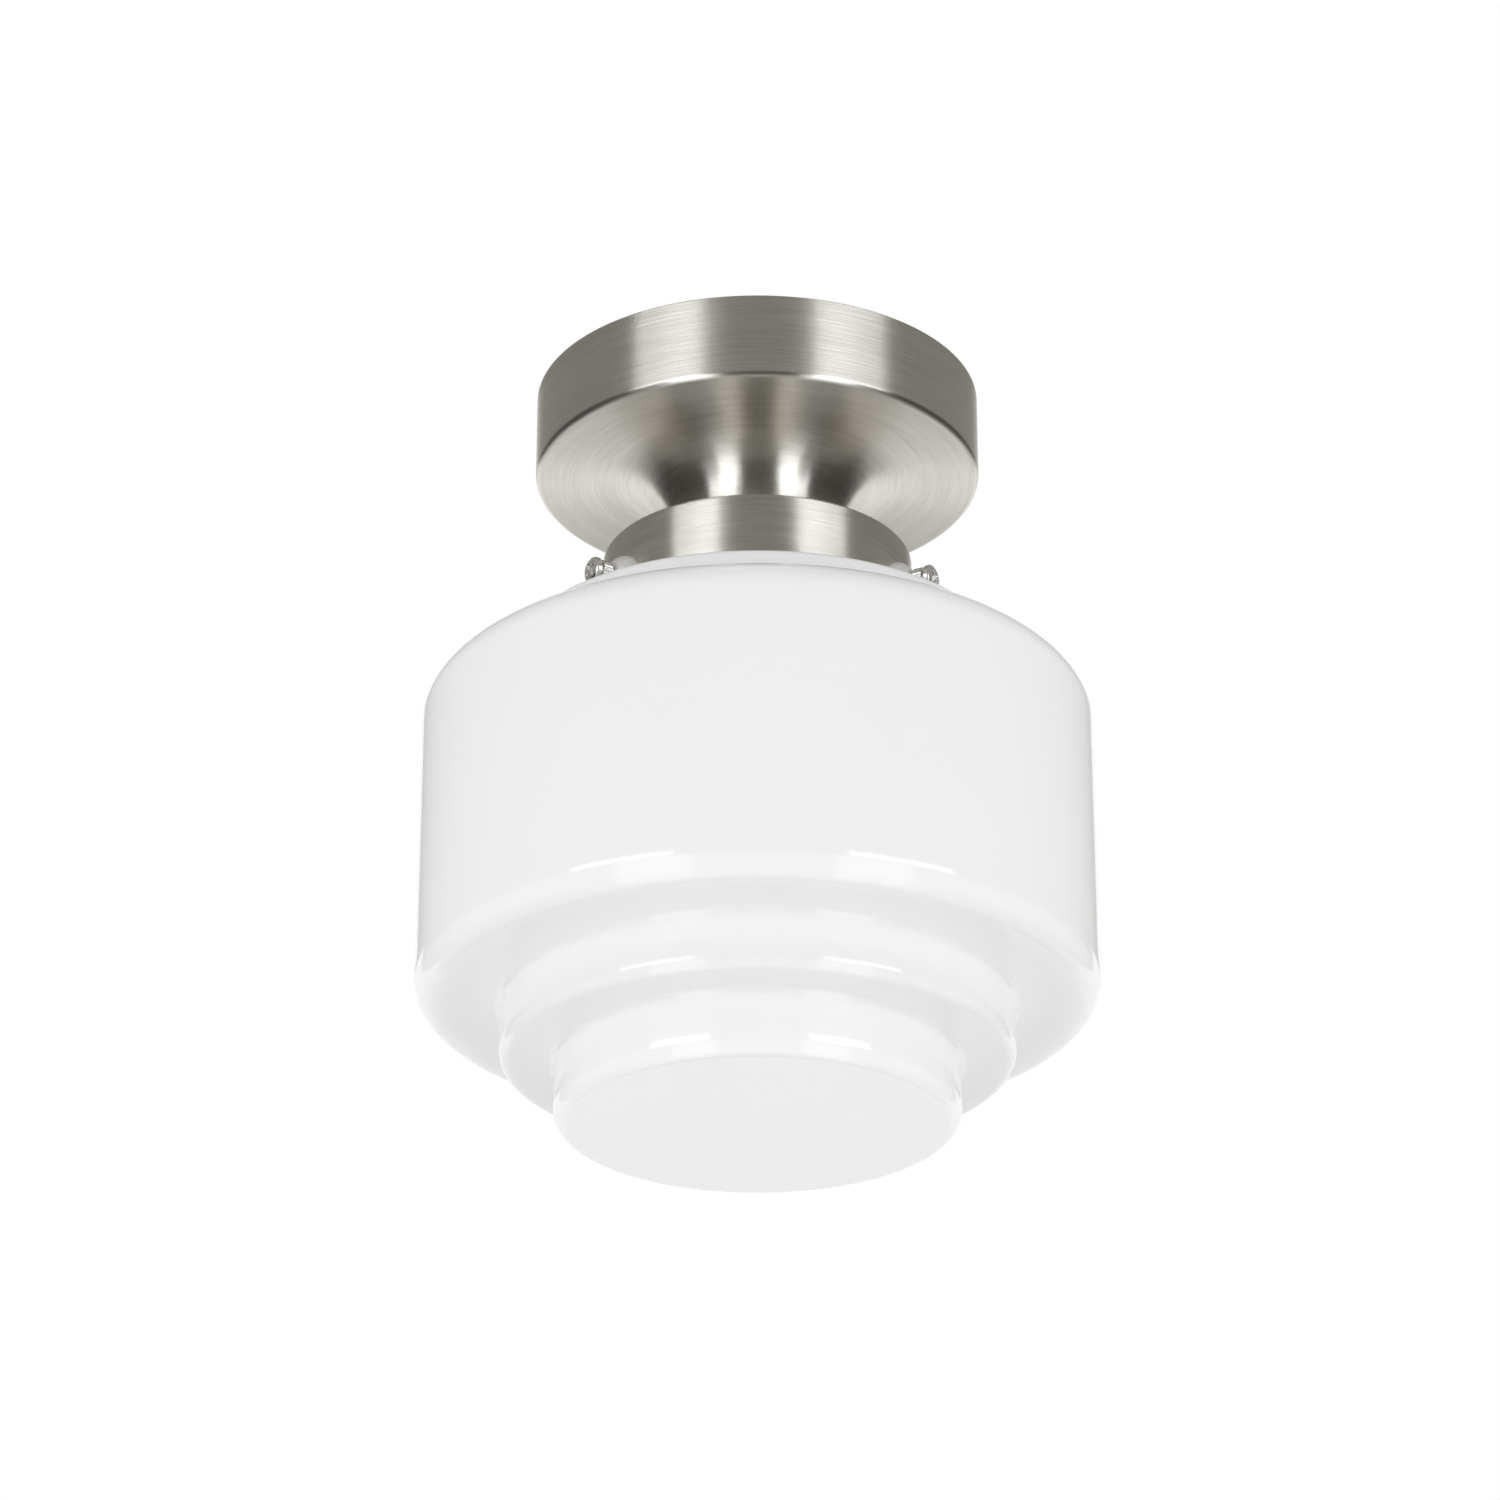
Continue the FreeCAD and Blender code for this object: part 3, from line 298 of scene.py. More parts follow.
def plainMetal(name, colour, roughness, grain=900.0, depth=0.000004, metallic=1.0):
    # Colour and roughness follow cloud noise plus fine noise; the fine one is the relief.
    v = handling
    look = newLook(name)
    place = look.place()
    cloud = look.noise(place, v["cloudScale"], 3.0)
    fine = look.noise(place, grain, 2.0)
    shade = cloud * v["cloudShare"] + fine * v["fineShare"]
    mixed = look.mix(shade, tint(colour, v["dark"]), tint(colour, v["light"]))
    rough = roughness - v["roughSwing"] / 2 + shade * v["roughSwing"]
    return look.surface(Base_Color=mixed, Metallic=metallic, Roughness=rough, Normal=look.bump(fine, depth))


# Moulded plastics and ceramic, with a faint orange-peel surface

orangePeel = {
    "cloudScale": 35.0,
    "dark": 0.94, "light": 1.04,
    "roughSwing": 0.08,
    "coatRoughness": 0.05,
}


def moulded(name, colour, roughness, peel=700.0, depth=0.000006, coat=0.0):
    # Colour follows cloud noise, roughness and relief follow the finer skin noise.
    v = orangePeel
    look = newLook(name)
    place = look.place()
    cloud = look.noise(place, v["cloudScale"], 3.0)
    skin = look.noise(place, peel, 2.0)
    mixed = look.mix(cloud, tint(colour, v["dark"]), tint(colour, v["light"]))
    rough = roughness - v["roughSwing"] / 2 + skin * v["roughSwing"]
    return look.surface(Base_Color=mixed, Roughness=rough, Coat_Weight=coat,
                        Coat_Roughness=v["coatRoughness"], Normal=look.bump(skin, depth))


# Opal glass: white flashed glass with a fire-polished skin and a faint waviness from the mould, with painted
# shade darkening it round the steps' inner corners

opalGlass = {
    "colour": (0.925, 0.925, 0.925),
    "dark": 0.99, "light": 1.008,
    "roughness": 0.07,
    "roughSwing": 0.02,
    "rippleScale": 16.0,
    "rippleDepth": 0.00018,
    "cloudScale": 22.0,
    "refraction": 1.42,
    # Painted shade: the white darkens round these inner corners of the steps, by up to the corner share
    # below.
    "innerCorners": ((87.0, -200.0), (68.0, -217.5)),   # radius and height in mm
    "cornerReach": 11.0,                                # mm
    "paintedCornerShade": 0.07,
}

naturalBase = 2.718


def opal(name, values):
    # White darkened by painted shade: it loses the corner share x e^(-(distance / reach) squared) near each
    # inner corner's circle, where the steps' concave corners lie in shade.
    v = values
    look = newLook(name)
    place = look.place()
    ripple = look.noise(place, v["rippleScale"], 1.0)
    cloud = look.noise(place, v["cloudScale"], 2.0)
    x, y, z = look.split(place)
    radius = (x * x + y * y) ** 0.5
    # Painted shade near the steps' inner corners, summed over the corners.
    shade = 0.0
    for cornerRadius, cornerHeight in v["innerCorners"]:
        far = (radius - cornerRadius * mm) ** 2 + (z - cornerHeight * mm) ** 2
        shade = shade + naturalBase ** (far * (-1 / (v["cornerReach"] * mm) ** 2))
    white = look.mix(cloud, tint(v["colour"], v["dark"]), tint(v["colour"], v["light"]))
    # Painted shade: the white is mixed towards black near the inner corners.
    colour = look.mix(shade * v["paintedCornerShade"], white, (0, 0, 0, 1))
    rough = v["roughness"] - v["roughSwing"] / 2 + cloud * v["roughSwing"]
    return look.surface(Base_Color=colour, Roughness=rough, IOR=v["refraction"],
                        Normal=look.bump(ripple, v["rippleDepth"]))


looks = {
    "brushed_nickel": brushedMetal("brushed nickel", brushedNickel),
    "nickel_plate": plainMetal("nickel plate", (0.80, 0.79, 0.76), 0.26),
    "zinc_steel": plainMetal("zinc plated steel", (0.66, 0.67, 0.68), 0.36, 500.0, 0.00001),
    "brass": plainMetal("brass", (0.80, 0.62, 0.30), 0.28),
    "opal_glass": opal("opal glass", opalGlass),
    "white_polyamide": moulded("white polyamide", (0.84, 0.83, 0.79), 0.45),
    "holder_plastic": moulded("black phenolic", (0.022, 0.021, 0.02), 0.38),
    "steatite": moulded("steatite", (0.80, 0.77, 0.69), 0.55, 1400.0, 0.00001),
    "live_insulation": moulded("brown insulation", (0.15, 0.055, 0.022), 0.42),
    "neutral_insulation": moulded("blue insulation", (0.02, 0.09, 0.34), 0.42),
    "tip_nylon": moulded("natural nylon", (0.80, 0.80, 0.74), 0.42),
    "bulb_white": moulded("bulb housing white", (0.86, 0.86, 0.84), 0.40),
    "bulb_diffuser": moulded("frosted diffuser", (0.88, 0.88, 0.86), 0.50, 1800.0),
    "cap_metal": plainMetal("rolled cap metal", (0.72, 0.72, 0.70), 0.30),
    "black_insulator": moulded("black glass insulator", (0.012, 0.012, 0.014), 0.12, coat=0.5),
}

slotOf = {row["node"]: row["material_slot"] for row in frame["record"]["subparts"]}
for node, part in parts.items():
    part.data.materials.clear()
    part.data.materials.append(looks[slotOf[node]])
print("materials:", len(looks), "looks on", len(parts), "nodes")


# Canopy: spun shell, flat underside flaring into the neck

canopy = {
    "wall": 0.9,
    "edgeRound": 1.6,
    "flareRound": 18.0,
    "neckRadius": 26.5,
    "height": 27.0,
    "lipRound": 0.25,
    "arcSteps": 14,
    "around": 288,
}


def makeCanopy(values):
    # A closed profile turned about Z: neck, flare, underside, wall, and back inside at the sheet's thickness.
    v = values
    low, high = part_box("canopy")
    outer = high.x / mm
    foot = low.z / mm
    wall = v["wall"]
    neck = v["neckRadius"]
    floor = -v["height"]
    lip = v["lipRound"]
    profile = roundedProfile([
        (neck - wall, foot, lip), (neck, foot, lip), (neck, floor, v["flareRound"]),
        (outer, floor, v["edgeRound"]), (outer, 0, lip), (outer - wall, 0, lip),
        (outer - wall, floor + wall, v["edgeRound"] - wall),
        (neck - wall, floor + wall, v["flareRound"] + wall)], v["arcSteps"])
    points, faces = lathe(profile, v["around"])
    makePiece("canopy_shell", points, faces, "fixture", "brushed_nickel", "canopy")


makeCanopy(canopy)
print("canopy done")


# Gallery: pressed cup, its raised middle sits in the canopy's neck, three holes take the bushes

screwPlaces = {"thumb_screw_1": 90.0, "thumb_screw_2": 210.0, "thumb_screw_3": 330.0}
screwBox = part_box("thumb_screw_1")
screwLevel = (screwBox[0].z + screwBox[1].z) / 2 / mm

gallery = {
    "wall": 0.8,
    "topRound": 1.1,
    "raised": 1.2,
    "raisedRadius": 25.3,
    "bore": 5.05,
    "lipRound": 0.25,
    "pressRound": 0.5,
    "hole": 3.55,
    "rings": (-5.2, -3.4, -1.7, 0.0, 1.7, 3.4, 5.2),    # extra rings, from the screws' level
    "holeColumns": 3,          # cells taken out to each side of a screw
    "arcSteps": 10,
    "around": 240,             # a multiple of 12, so that a column stands at each screw
}


def screwAxes(angle):
    # Away from the lamp (cos a, sin a, 0) and across (-sin a, cos a, 0).
    turn = math.radians(angle)
    outward = np.array([math.cos(turn), math.sin(turn), 0])
    across = np.array([-math.sin(turn), math.cos(turn), 0])
    return outward, across


def openHoles(points, faces, walls, values):
    # At each screw the block of cells between the second and the last but one extra ring goes. Its rim moves
    # onto a circle, (across, up) times hole / |(across, up)|, in both walls, and quads join the two rims.
    around = values["around"]
    side = values["holeColumns"]
    last = len(values["rings"]) - 3
    rim = [(0, c) for c in range(-side, side)] + [(k, side) for k in range(last)]
    rim += [(last, c) for c in range(side, -side, -1)] + [(k, -side) for k in range(last, 0, -1)]
    gone = set()
    sleeves = []
    for angle in screwPlaces.values():
        middle = round(angle / 360 * around)
        outward, across = screwAxes(angle)
        loops = []
        for rings in walls:
            loop = [rings[k + 1] * around + (middle + c) % around for k, c in rim]
            here = points[loop]
            radius = np.hypot(here[:, 0], here[:, 1])
            offset = np.stack([here @ across, here[:, 2] - screwLevel * mm], axis=1)
            offset *= values["hole"] * mm / np.linalg.norm(offset, axis=1, keepdims=True)
            reach = np.sqrt(radius ** 2 - offset[:, 0] ** 2)[:, None]
            points[loop] = offset[:, :1] * across + reach * outward + (offset[:, 1:] + screwLevel * mm) * up
            loops.append(loop)
            for k in range(1, last + 1):
                first = min(rings[k], rings[k + 1])
                gone.update(first * around + (middle + c) % around for c in range(-side, side))
        outer, inner = loops
        sleeves += [[outer[n - 1], outer[n], inner[n], inner[n - 1]] for n in range(len(rim))]
    return [face for k, face in enumerate(faces) if k not in gone] + sleeves


def makeGallery(values):
    # A closed profile turned about Z: up the wall, over the top and the raised middle, and back inside.
    v = values
    low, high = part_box("gallery")
    outer = high.x / mm
    foot = low.z / mm
    raised = high.z / mm
    wall = v["wall"]
    top = raised - v["raised"]
    step = v["raisedRadius"]
    bore = v["bore"]
    lip = v["lipRound"]
    press = v["pressRound"]
    levels = [screwLevel + rise for rise in v["rings"]]
    wallUp = [(outer, level, 0) for level in levels]
    wallDown = [(outer - wall, level, 0) for level in reversed(levels)]
    over = [(outer, top, v["topRound"]), (step, top, press), (step, raised, press), (bore, raised, lip / 2)]
    under = [(bore, raised - wall, lip / 2), (step - wall, raised - wall, press),
             (step - wall, top - wall, press), (outer - wall, top - wall, v["topRound"] - wall)]
    feet = [(outer - wall, foot, lip), (outer, foot, lip)]
    profile = roundedProfile(feet + wallUp + over + under + wallDown, v["arcSteps"])
    points, faces = lathe(profile, v["around"])

    def ringsAt(radius):
        far = np.abs(profile[:, 0] - radius * mm)[:, None] + np.abs(profile[:, 1:] - np.array(levels) * mm)
        return far.argmin(axis=0).tolist()

    faces = openHoles(points, faces, (ringsAt(outer), ringsAt(outer - wall)), v)
    makePiece("gallery_cup", points, faces, "fixture", "brushed_nickel", "gallery")


makeGallery(gallery)
print("gallery done")


# Glass shade: lipped neck, ring, rounded shoulder, drum and two steps, all one blown wall

glass = {
    "wall": 3.0,
    "lipRadius": 42.0, "lipHeight": 5.0, "lipRound": 1.4, "lipSlope": 2.5,
    "neckRadius": 39.5, "neckRound": 3.0,
    "ringRadius": 76.0, "ringTop": -88.0, "ringRound": 3.0,
    "shoulderTop": -101.5, "shoulderRound": 10.4,
    "drumFoot": -200.0, "drumFootRound": 7.4,
    "upperRadius": 75.0, "upperFoot": -217.5, "upperRound": 3.2,
    "lowerRadius": 59.0, "lowerRound": 4.6,
    "cornerRound": 2.0,
    "softEdge": 0.6,
    "arcSteps": 12,
    "around": 256,
}


def makeGlass(values):
    # An open profile from the axis below, out over steps, drum, shoulder, ring and lip, and back inside.
    v = values
    low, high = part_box("glass_shade")
    drum = high.x / mm
    top = high.z / mm
    foot = low.z / mm
    wall = v["wall"]
    neck = v["neckRadius"]
    ring = v["ringRadius"]
    upper = v["upperRadius"]
    lower = v["lowerRadius"]
    corner = v["cornerRound"]
    soft = v["softEdge"]
    lipFoot = top - v["lipHeight"]
    profile = roundedProfile([
        (0, foot, 0), (lower, foot, v["lowerRound"]), (lower, v["upperFoot"], corner),
        (upper, v["upperFoot"], v["upperRound"]), (upper, v["drumFoot"], corner),
        (drum, v["drumFoot"], v["drumFootRound"]), (drum, v["shoulderTop"], v["shoulderRound"]),
        (ring, v["shoulderTop"], corner), (ring, v["ringTop"], v["ringRound"]),
        (neck, v["ringTop"], v["neckRound"]), (neck, lipFoot - v["lipSlope"], soft),
        (v["lipRadius"], lipFoot, v["lipRound"]), (v["lipRadius"], top, v["lipRound"]),
        (neck - wall, top, soft), (neck - wall, v["ringTop"] - wall, v["neckRound"] + wall),
        (ring - wall, v["ringTop"] - wall, soft), (ring - wall, v["shoulderTop"] - wall, corner + wall),
        (drum - wall, v["shoulderTop"] - wall, v["shoulderRound"] - wall),
        (drum - wall, v["drumFoot"] + wall, v["drumFootRound"] - wall),
        (upper - wall, v["drumFoot"] + wall, corner + wall), (upper - wall, v["upperFoot"] + wall, soft),
        (lower - wall, v["upperFoot"] + wall, corner + wall),
        (lower - wall, foot + wall, v["lowerRound"] - wall), (0, foot + wall, 0)],
        v["arcSteps"], closed=False)
    points, faces = lathe(profile, v["around"], closed=False)
    makePiece("opal_shade", points, faces, "shade", "opal_glass", "glass_shade")


makeGlass(glass)
print("glass done")


# Bushes: a domed boss seated on the gallery's wall, its shank riveted over inside

def alongRadius(points, angle):
    # Lays a piece turned about Z on a screw's axis: its Z points away from the lamp, its Y up.
    outward, across = screwAxes(angle)
    return (points[:, :1] * across + points[:, 1:2] * up + points[:, 2:] * outward
            + up * screwLevel * mm)


bush = {
    "bore": 2.0,
    "boss": 6.9,
    "domeTop": 3.9,
    "domeHeight": 4.2,
    "domeSteps": 10,
    "shank": 3.5,
    "rivet": 4.6,
    "rivetHeight": 1.1,
    "rivetGap": 0.4,
    "edge": 0.15,
    "sunk": 1.0,               # the boss's foot starts this far inside the wall and is laid onto it
    "arcSteps": 5,
    "around": 96,
    "satin": (0.80, 0.79, 0.77), "satinRoughness": 0.42, "satinGrain": 1400.0, "satinDepth": 0.000008,
    "satinMetal": 0.35,
}


def makeBushes(values):
    # The dome is the part of an ellipse with radius boss sqrt(1 - (rise / tall) squared). The boss's foot
    # follows the gallery's wall, sqrt(wall squared - x squared).
    v = values
    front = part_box("gallery_bushes")[1].y / mm
    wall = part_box("gallery")[1].x / mm
    inner = wall - gallery["wall"] - v["rivetHeight"] - v["rivetGap"]
    seat = wall - v["sunk"]
    tall = v["domeHeight"] / math.sqrt(1 - (v["domeTop"] / v["boss"]) ** 2)
    rises = v["domeHeight"] * np.sin(np.linspace(0, 1, v["domeSteps"])[:-1] * math.pi / 2)
    dome = [(v["boss"] * math.sqrt(1 - (rise / tall) ** 2), front - v["domeHeight"] + rise, 0)
            for rise in rises]
    profile = roundedProfile([
        (v["bore"], inner, v["edge"]), (v["rivet"], inner, 2 * v["edge"]),
        (v["rivet"], inner + v["rivetHeight"], v["edge"]), (v["shank"], inner + v["rivetHeight"], 0),
        (v["shank"], seat, 0), (v["boss"], seat, 0)] + dome + [
        (v["domeTop"], front, 0), (v["bore"], front, v["edge"])], v["arcSteps"])
    points, faces = lathe(profile, v["around"])
    atSeat = np.abs(points[:, 2] / mm - seat) < hair
    points[atSeat, 2] = np.sqrt((wall * mm) ** 2 - points[atSeat, 0] ** 2)
    allPoints = np.vstack([alongRadius(points, angle) for angle in screwPlaces.values()])
    starts = [k * len(points) for k in range(len(screwPlaces))]
    allFaces = [[start + corner for corner in face] for start in starts for face in faces]
    satin = plainMetal("satin bush", v["satin"], v["satinRoughness"], v["satinGrain"], v["satinDepth"],
                       v["satinMetal"])
    makePiece("bush_set", allPoints, allFaces, "fixture", "nickel_plate", "gallery_bushes", satin)


makeBushes(bush)
print("bushes done")


# Thumb screws: threaded shank, straight-knurled collar, a groove and a pan-shaped face with a cross recess

screw = {
    "shank": 1.95,
    "threadPitch": 0.7,
    "threadDepth": 0.22,
    "threadStart": 0.3,        # from the shank's inner end
    "threadRunIn": 0.5,
    "threadRings": 120,
    "socket": 1.45,
    "socketDeep": 2.6,
    "socketEdge": 0.12,
    "stub": 1.0,               # plain shank behind the inner edge, where the thread's rings take over
    "endSteps": 3, "headSteps": 6,
    "collar": 3.72,
    "collarEnd": 3.3,          # from the head's foot
    "collarRound": 0.35,
    "grooveEnd": 4.0,
    "groove": 2.7,
    "grooveRound": 0.1,
    "head": 4.0,
    "headRound": 0.2,
    "headLength": 6.2,
    "faceRound": 0.7,
    "faceRings": 42,
    "crown": 0.45,             # how much the face is domed
    "teeth": 26,
    "toothDepth": 0.2,
    "toothRunIn": 0.4,
    "columns": 156,
    "recessTurn": 38.0,
    "recessLength": 2.6,
    "recessWidth": 0.62,
    "recessTaper": 0.25,       # of the width, lost towards the ends
    "recessSlope": 0.55,       # of the length, over which the floor comes up
    "recessDeep": 1.6,
    "recessEdge": 0.3,
}

clear = 0.05               # in mm: keeps rings and masks off the corners beside them


def triangle(turns):
    # Triangle wave from -1 to 1, one period each turn.
    return 4 * np.abs((turns % 1) - 0.5) - 1


def screwProfile(inner, face, values):
    # From the socket's floor out round the inner end, along the shank, over collar, groove and head, and
    # over the face, which sinks by crown (r / head) squared. Also says which ring the thread starts at.
    v = values
    foot = face - v["headLength"]
    collarEnd = foot + v["collarEnd"]
    grooveEnd = foot + v["grooveEnd"]
    rim = face - v["crown"]
    before = roundedProfile([
        (0, inner + v["socketDeep"], 0), (v["socket"], inner + v["socketDeep"], 0),
        (v["socket"], inner, v["socketEdge"]), (v["shank"], inner, v["socketEdge"]),
        (v["shank"], inner + v["stub"], 0)], v["endSteps"], closed=False) / mm
    heights = np.linspace(inner + v["threadStart"], foot - clear, v["threadRings"])
    shank = np.column_stack([np.full(v["threadRings"], v["shank"]), heights])
    collar = roundedProfile([
        (v["shank"], foot, 0), (v["collar"], foot, v["collarRound"]),
        (v["collar"], collarEnd, v["collarRound"]), (v["groove"], collarEnd, v["grooveRound"]),
        (v["groove"], grooveEnd, v["grooveRound"]), (v["head"], grooveEnd, v["headRound"]),
        (v["head"], rim, v["faceRound"]), (0, rim, 0)], v["headSteps"], closed=False) / mm
    across = np.linspace(v["head"] - v["faceRound"], 0, v["faceRings"])[1:]
    disc = np.column_stack([across, face - v["crown"] * (across / v["head"]) ** 2])
    return np.vstack([before[:-1], shank, collar[:-3], disc]), len(before) - 1


def crossRecess(points, values):
    # Depth of the recess at each point: the deeper of two crossed arms, each with sloping sides and ends.
    v = values
    tilt = math.radians(v["recessTurn"])
    x = np.abs(points[:, 0] * math.cos(tilt) + points[:, 1] * math.sin(tilt)) / mm
    y = np.abs(points[:, 1] * math.cos(tilt) - points[:, 0] * math.sin(tilt)) / mm

    def arm(far, side):
        width = v["recessWidth"] * (1 - v["recessTaper"] * far / v["recessLength"])
        across = np.clip((width - side) / v["recessEdge"] + 0.5, 0, 1)
        end = np.clip((v["recessLength"] - far) / (v["recessLength"] * v["recessSlope"]), 0, 1)
        return across * end

    return v["recessDeep"] * np.maximum(arm(x, y), arm(y, x))


def makeThumbScrew(name, angle, body, values):
    # The profile turned about the screw's axis. From the radius the collar loses half of
    # toothDepth (1 - triangle(teeth x a)), the shank half of threadDepth (1 + triangle(z / pitch - a)).
    v = values
    low, high = screwBox
    inner = low.y / mm
    face = high.y / mm
    foot = face - v["headLength"]
    collarEnd = foot + v["collarEnd"]
    profile, threadRing = screwProfile(inner, face, v)
    points, faces = lathe(profile * mm, v["columns"], closed=False)
    ring = np.repeat(np.arange(1, len(profile) - 1), v["columns"])
    ring = np.concatenate([ring, [0, len(profile) - 1]])
    turn = np.arctan2(points[:, 1], points[:, 0])
    radius = np.hypot(points[:, 0], points[:, 1]) / mm
    along = points[:, 2] / mm

    onShank = (ring >= threadRing) & (ring < threadRing + v["threadRings"])
    thread = v["threadDepth"] * (0.5 + 0.5 * triangle(along / v["threadPitch"] - turn / (2 * math.pi)))
    ends = np.clip((along - inner - v["threadStart"]) / v["threadRunIn"], 0, 1)
    inCollar = (along > foot + clear) & (along < collarEnd - clear / 2)
    onCollar = inCollar & (radius > v["collar"] - 2 * v["toothDepth"])
    tooth = v["toothDepth"] * (0.5 - 0.5 * triangle(v["teeth"] * turn / (2 * math.pi)))
    bite = np.clip(np.minimum(along - foot, collarEnd - along) / v["toothRunIn"], 0, 1)
    taken = np.where(onShank, thread * ends, 0) + np.where(onCollar, tooth * bite, 0)
    scale = np.where(radius > 0, (radius - taken) / np.maximum(radius, hair), 1)
    points[:, :2] *= scale[:, None]

    onFace = (along > face - v["crown"] - hair) & (radius < v["head"] - v["faceRound"])
    points[:, 2] -= np.where(onFace, crossRecess(points, v), 0) * mm
    makePiece("knurled_" + name, alongRadius(points, angle), faces, body, "nickel_plate", name)


for k, (name, angle) in enumerate(screwPlaces.items(), start=1):
    makeThumbScrew(name, angle, "screw_%d" % k, screw)
print("thumb screws done")


# Threaded tube: M10 fine thread from end to end, rolled on a plain tube

tube = {
    "bore": 4.0,
    "pitch": 1.0,
    "depth": 0.6,
    "rowsPerTurn": 8,
    "columns": 48,
    "mouth": 0.4,              # bevel at both ends
}


def makeThreadedTube(values):
    # Outside radius R less half of depth (1 - triangle(z / pitch - a)), drawn in to R - depth at both ends.
    v = values
    low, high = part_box("threaded_tube")
    foot = low.z / mm
    top = high.z / mm
    outer = high.x / mm
    rows = int((top - foot) / v["pitch"] * v["rowsPerTurn"])
    outside = np.column_stack([np.full(rows, outer), np.linspace(foot, top, rows)])
    inside = [[v["bore"], height] for height in (top, top - v["mouth"], foot + v["mouth"], foot)]
    points, faces = lathe(np.vstack([outside, inside]) * mm, v["columns"])
    ring = np.repeat(np.arange(rows + len(inside)), v["columns"])
    turn = np.arctan2(points[:, 1], points[:, 0]) / (2 * math.pi)
    along = points[:, 2] / mm
    groove = v["depth"] * (0.5 - 0.5 * triangle(along / v["pitch"] - turn))
    ends = np.clip(1 - np.minimum(along - foot, top - along) / v["mouth"], 0, 1)
    radius = outer - np.maximum(groove, v["depth"] * ends)
    scale = np.where(ring < rows, radius / outer, 1)
    points[:, :2] *= scale[:, None]
    makePiece("threaded_tube_rolled", points, faces, "fixture", "zinc_steel", "threaded_tube")


makeThreadedTube(tube)
print("threaded tube done")


# Studio: white surround and floor, panels that only the gloss sees, and one soft fill that it doesn't see

camera = {
    "distance": 1371.2,      # from the lamp's axis, level
    "height": -757.4,
    "aside": -2.2,
    "azimuth": -3.0,
    "pitch": 25.04,
    "focal": 5082.7,         # in pixels of the 1500 pixel frame
    "framePixels": 1500,
    "sensor": 36.0,
    "farClip": 50.0,         # metres
}

studio = {
    "surround": 0.62,
    "floorHeight": -2.5,
    "floorSize": 9.0,
    "floorColour": (0.86, 0.86, 0.86), "floorRoughness": 0.7, "floorGrain": 60.0, "floorDepth": 0.0001,
    "aim": -0.10,            # height that all panels are seen from
    "columns": 33, "rows": 17,
    "cool": (0.975, 0.995, 1.035),
    "warm": (1.0, 0.965, 0.92),
    "plain": (1.0, 1.0, 1.0),
}

glossPanels = {              # azimuths are counted from the camera's
    "softLeft": {"azimuth": -43.0, "half": 17.0, "low": 0.0, "high": 14.8, "distance": 1.25, "light": 4.5,
                 "hue": "cool"},
    "softRight": {"azimuth": 45.4, "half": 17.8, "low": 0.0, "high": 14.8, "distance": 1.25, "light": 4.5,
                  "hue": "cool"},
    "lowLeft": {"from": -23.0, "to": -10.5, "tiltLow": 27.0, "tiltHigh": 76.0, "distance": 1.2, "light": 1.9,
                "hue": "cool"},
    "lowRight": {"from": 12.5, "to": 25.0, "tiltLow": 27.0, "tiltHigh": 76.0, "distance": 1.2, "light": 1.9,
                 "hue": "cool"},
    "upperWall": {"azimuth": 0.0, "half": 158.0, "low": 16.0, "high": 80.0, "distance": 1.8, "light": 0.34,
                  "hue": "warm"},
    "lowerWall": {"azimuth": 0.0, "half": 140.0, "low": -62.0, "high": 16.0, "distance": 1.9, "light": 0.045,
                  "hue": "warm"},
    "backFlag": {"azimuth": 180.0, "half": 9.0, "low": -88.0, "high": -34.0, "distance": 1.7, "light": 0.03,
                 "hue": "warm"},
}

fill = {"azimuth": 0.0, "half": 140.0, "low": -54.0, "high": 5.0, "distance": 1.35, "light": 1.24,
        "hue": "plain"}


def emission(name, colour):
    look = newLook(name)
    shader = look.add("ShaderNodeEmission", {}, {"Color": tint(colour), "Strength": 1.0})
    look.add("ShaderNodeOutputMaterial", {}, {"Surface": shader})
    return look.owner


def arcPanel(values):
    # Directions (sin a cos e, -cos a cos e, sin e) over a range of azimuth a and elevation e.
    across = np.linspace(-1, 1, studio["columns"]) * values["half"]
    turn = np.radians(camera["azimuth"] + values["azimuth"] + across)
    rise = np.radians(np.linspace(values["low"], values["high"], studio["rows"]))
    a, e = np.meshgrid(turn, rise)
    return np.stack([np.sin(a) * np.cos(e), -np.cos(a) * np.cos(e), np.sin(e)], axis=-1)


def mirrorPanel(values):
    # Directions that the flare mirrors to the camera: r = d - 2 (d.n) n, where d is the view direction and
    # n the normal (sin t sin a, -sin t cos a, -cos t) of metal turned a from the camera and tilted t.
    turn = np.radians(camera["azimuth"] + np.linspace(values["from"], values["to"], studio["columns"]))
    tilt = np.radians(np.linspace(values["tiltLow"], values["tiltHigh"], studio["rows"]))
    a, t = np.meshgrid(turn, tilt)
    normal = np.stack([np.sin(t) * np.sin(a), -np.sin(t) * np.cos(a), -np.cos(t)], axis=-1)
    ahead = math.radians(camera["azimuth"])
    rise = math.radians(camera["pitch"])
    view = np.array([-math.sin(ahead) * math.cos(rise), math.cos(ahead) * math.cos(rise), math.sin(rise)])
    return view - 2 * (normal @ view)[..., None] * normal


def makePanel(name, values):
    # One patch of a sphere round the lamp, facing it: aim + distance x direction.
    columns = studio["columns"]
    ways = mirrorPanel(values) if "tiltLow" in values else arcPanel(values)
    points = ways.reshape(-1, 3) * values["distance"] + up * studio["aim"]
    i, j = np.meshgrid(np.arange(studio["rows"] - 1), np.arange(columns - 1), indexing="ij")
    first = (i * columns + j).ravel()
    faces = np.stack([first, first + columns, first + columns + 1, first + 1], axis=-1).tolist()
    mesh = bpy.data.meshes.new(name)
    mesh.from_pydata(points.tolist(), [], faces)
    mesh.materials.append(emission(name, [channel * values["light"] for channel in studio[values["hue"]]]))
    panel = bpy.data.objects.new(name, mesh)
    bpy.context.scene.collection.objects.link(panel)
    panel.visible_camera = False
    return panel


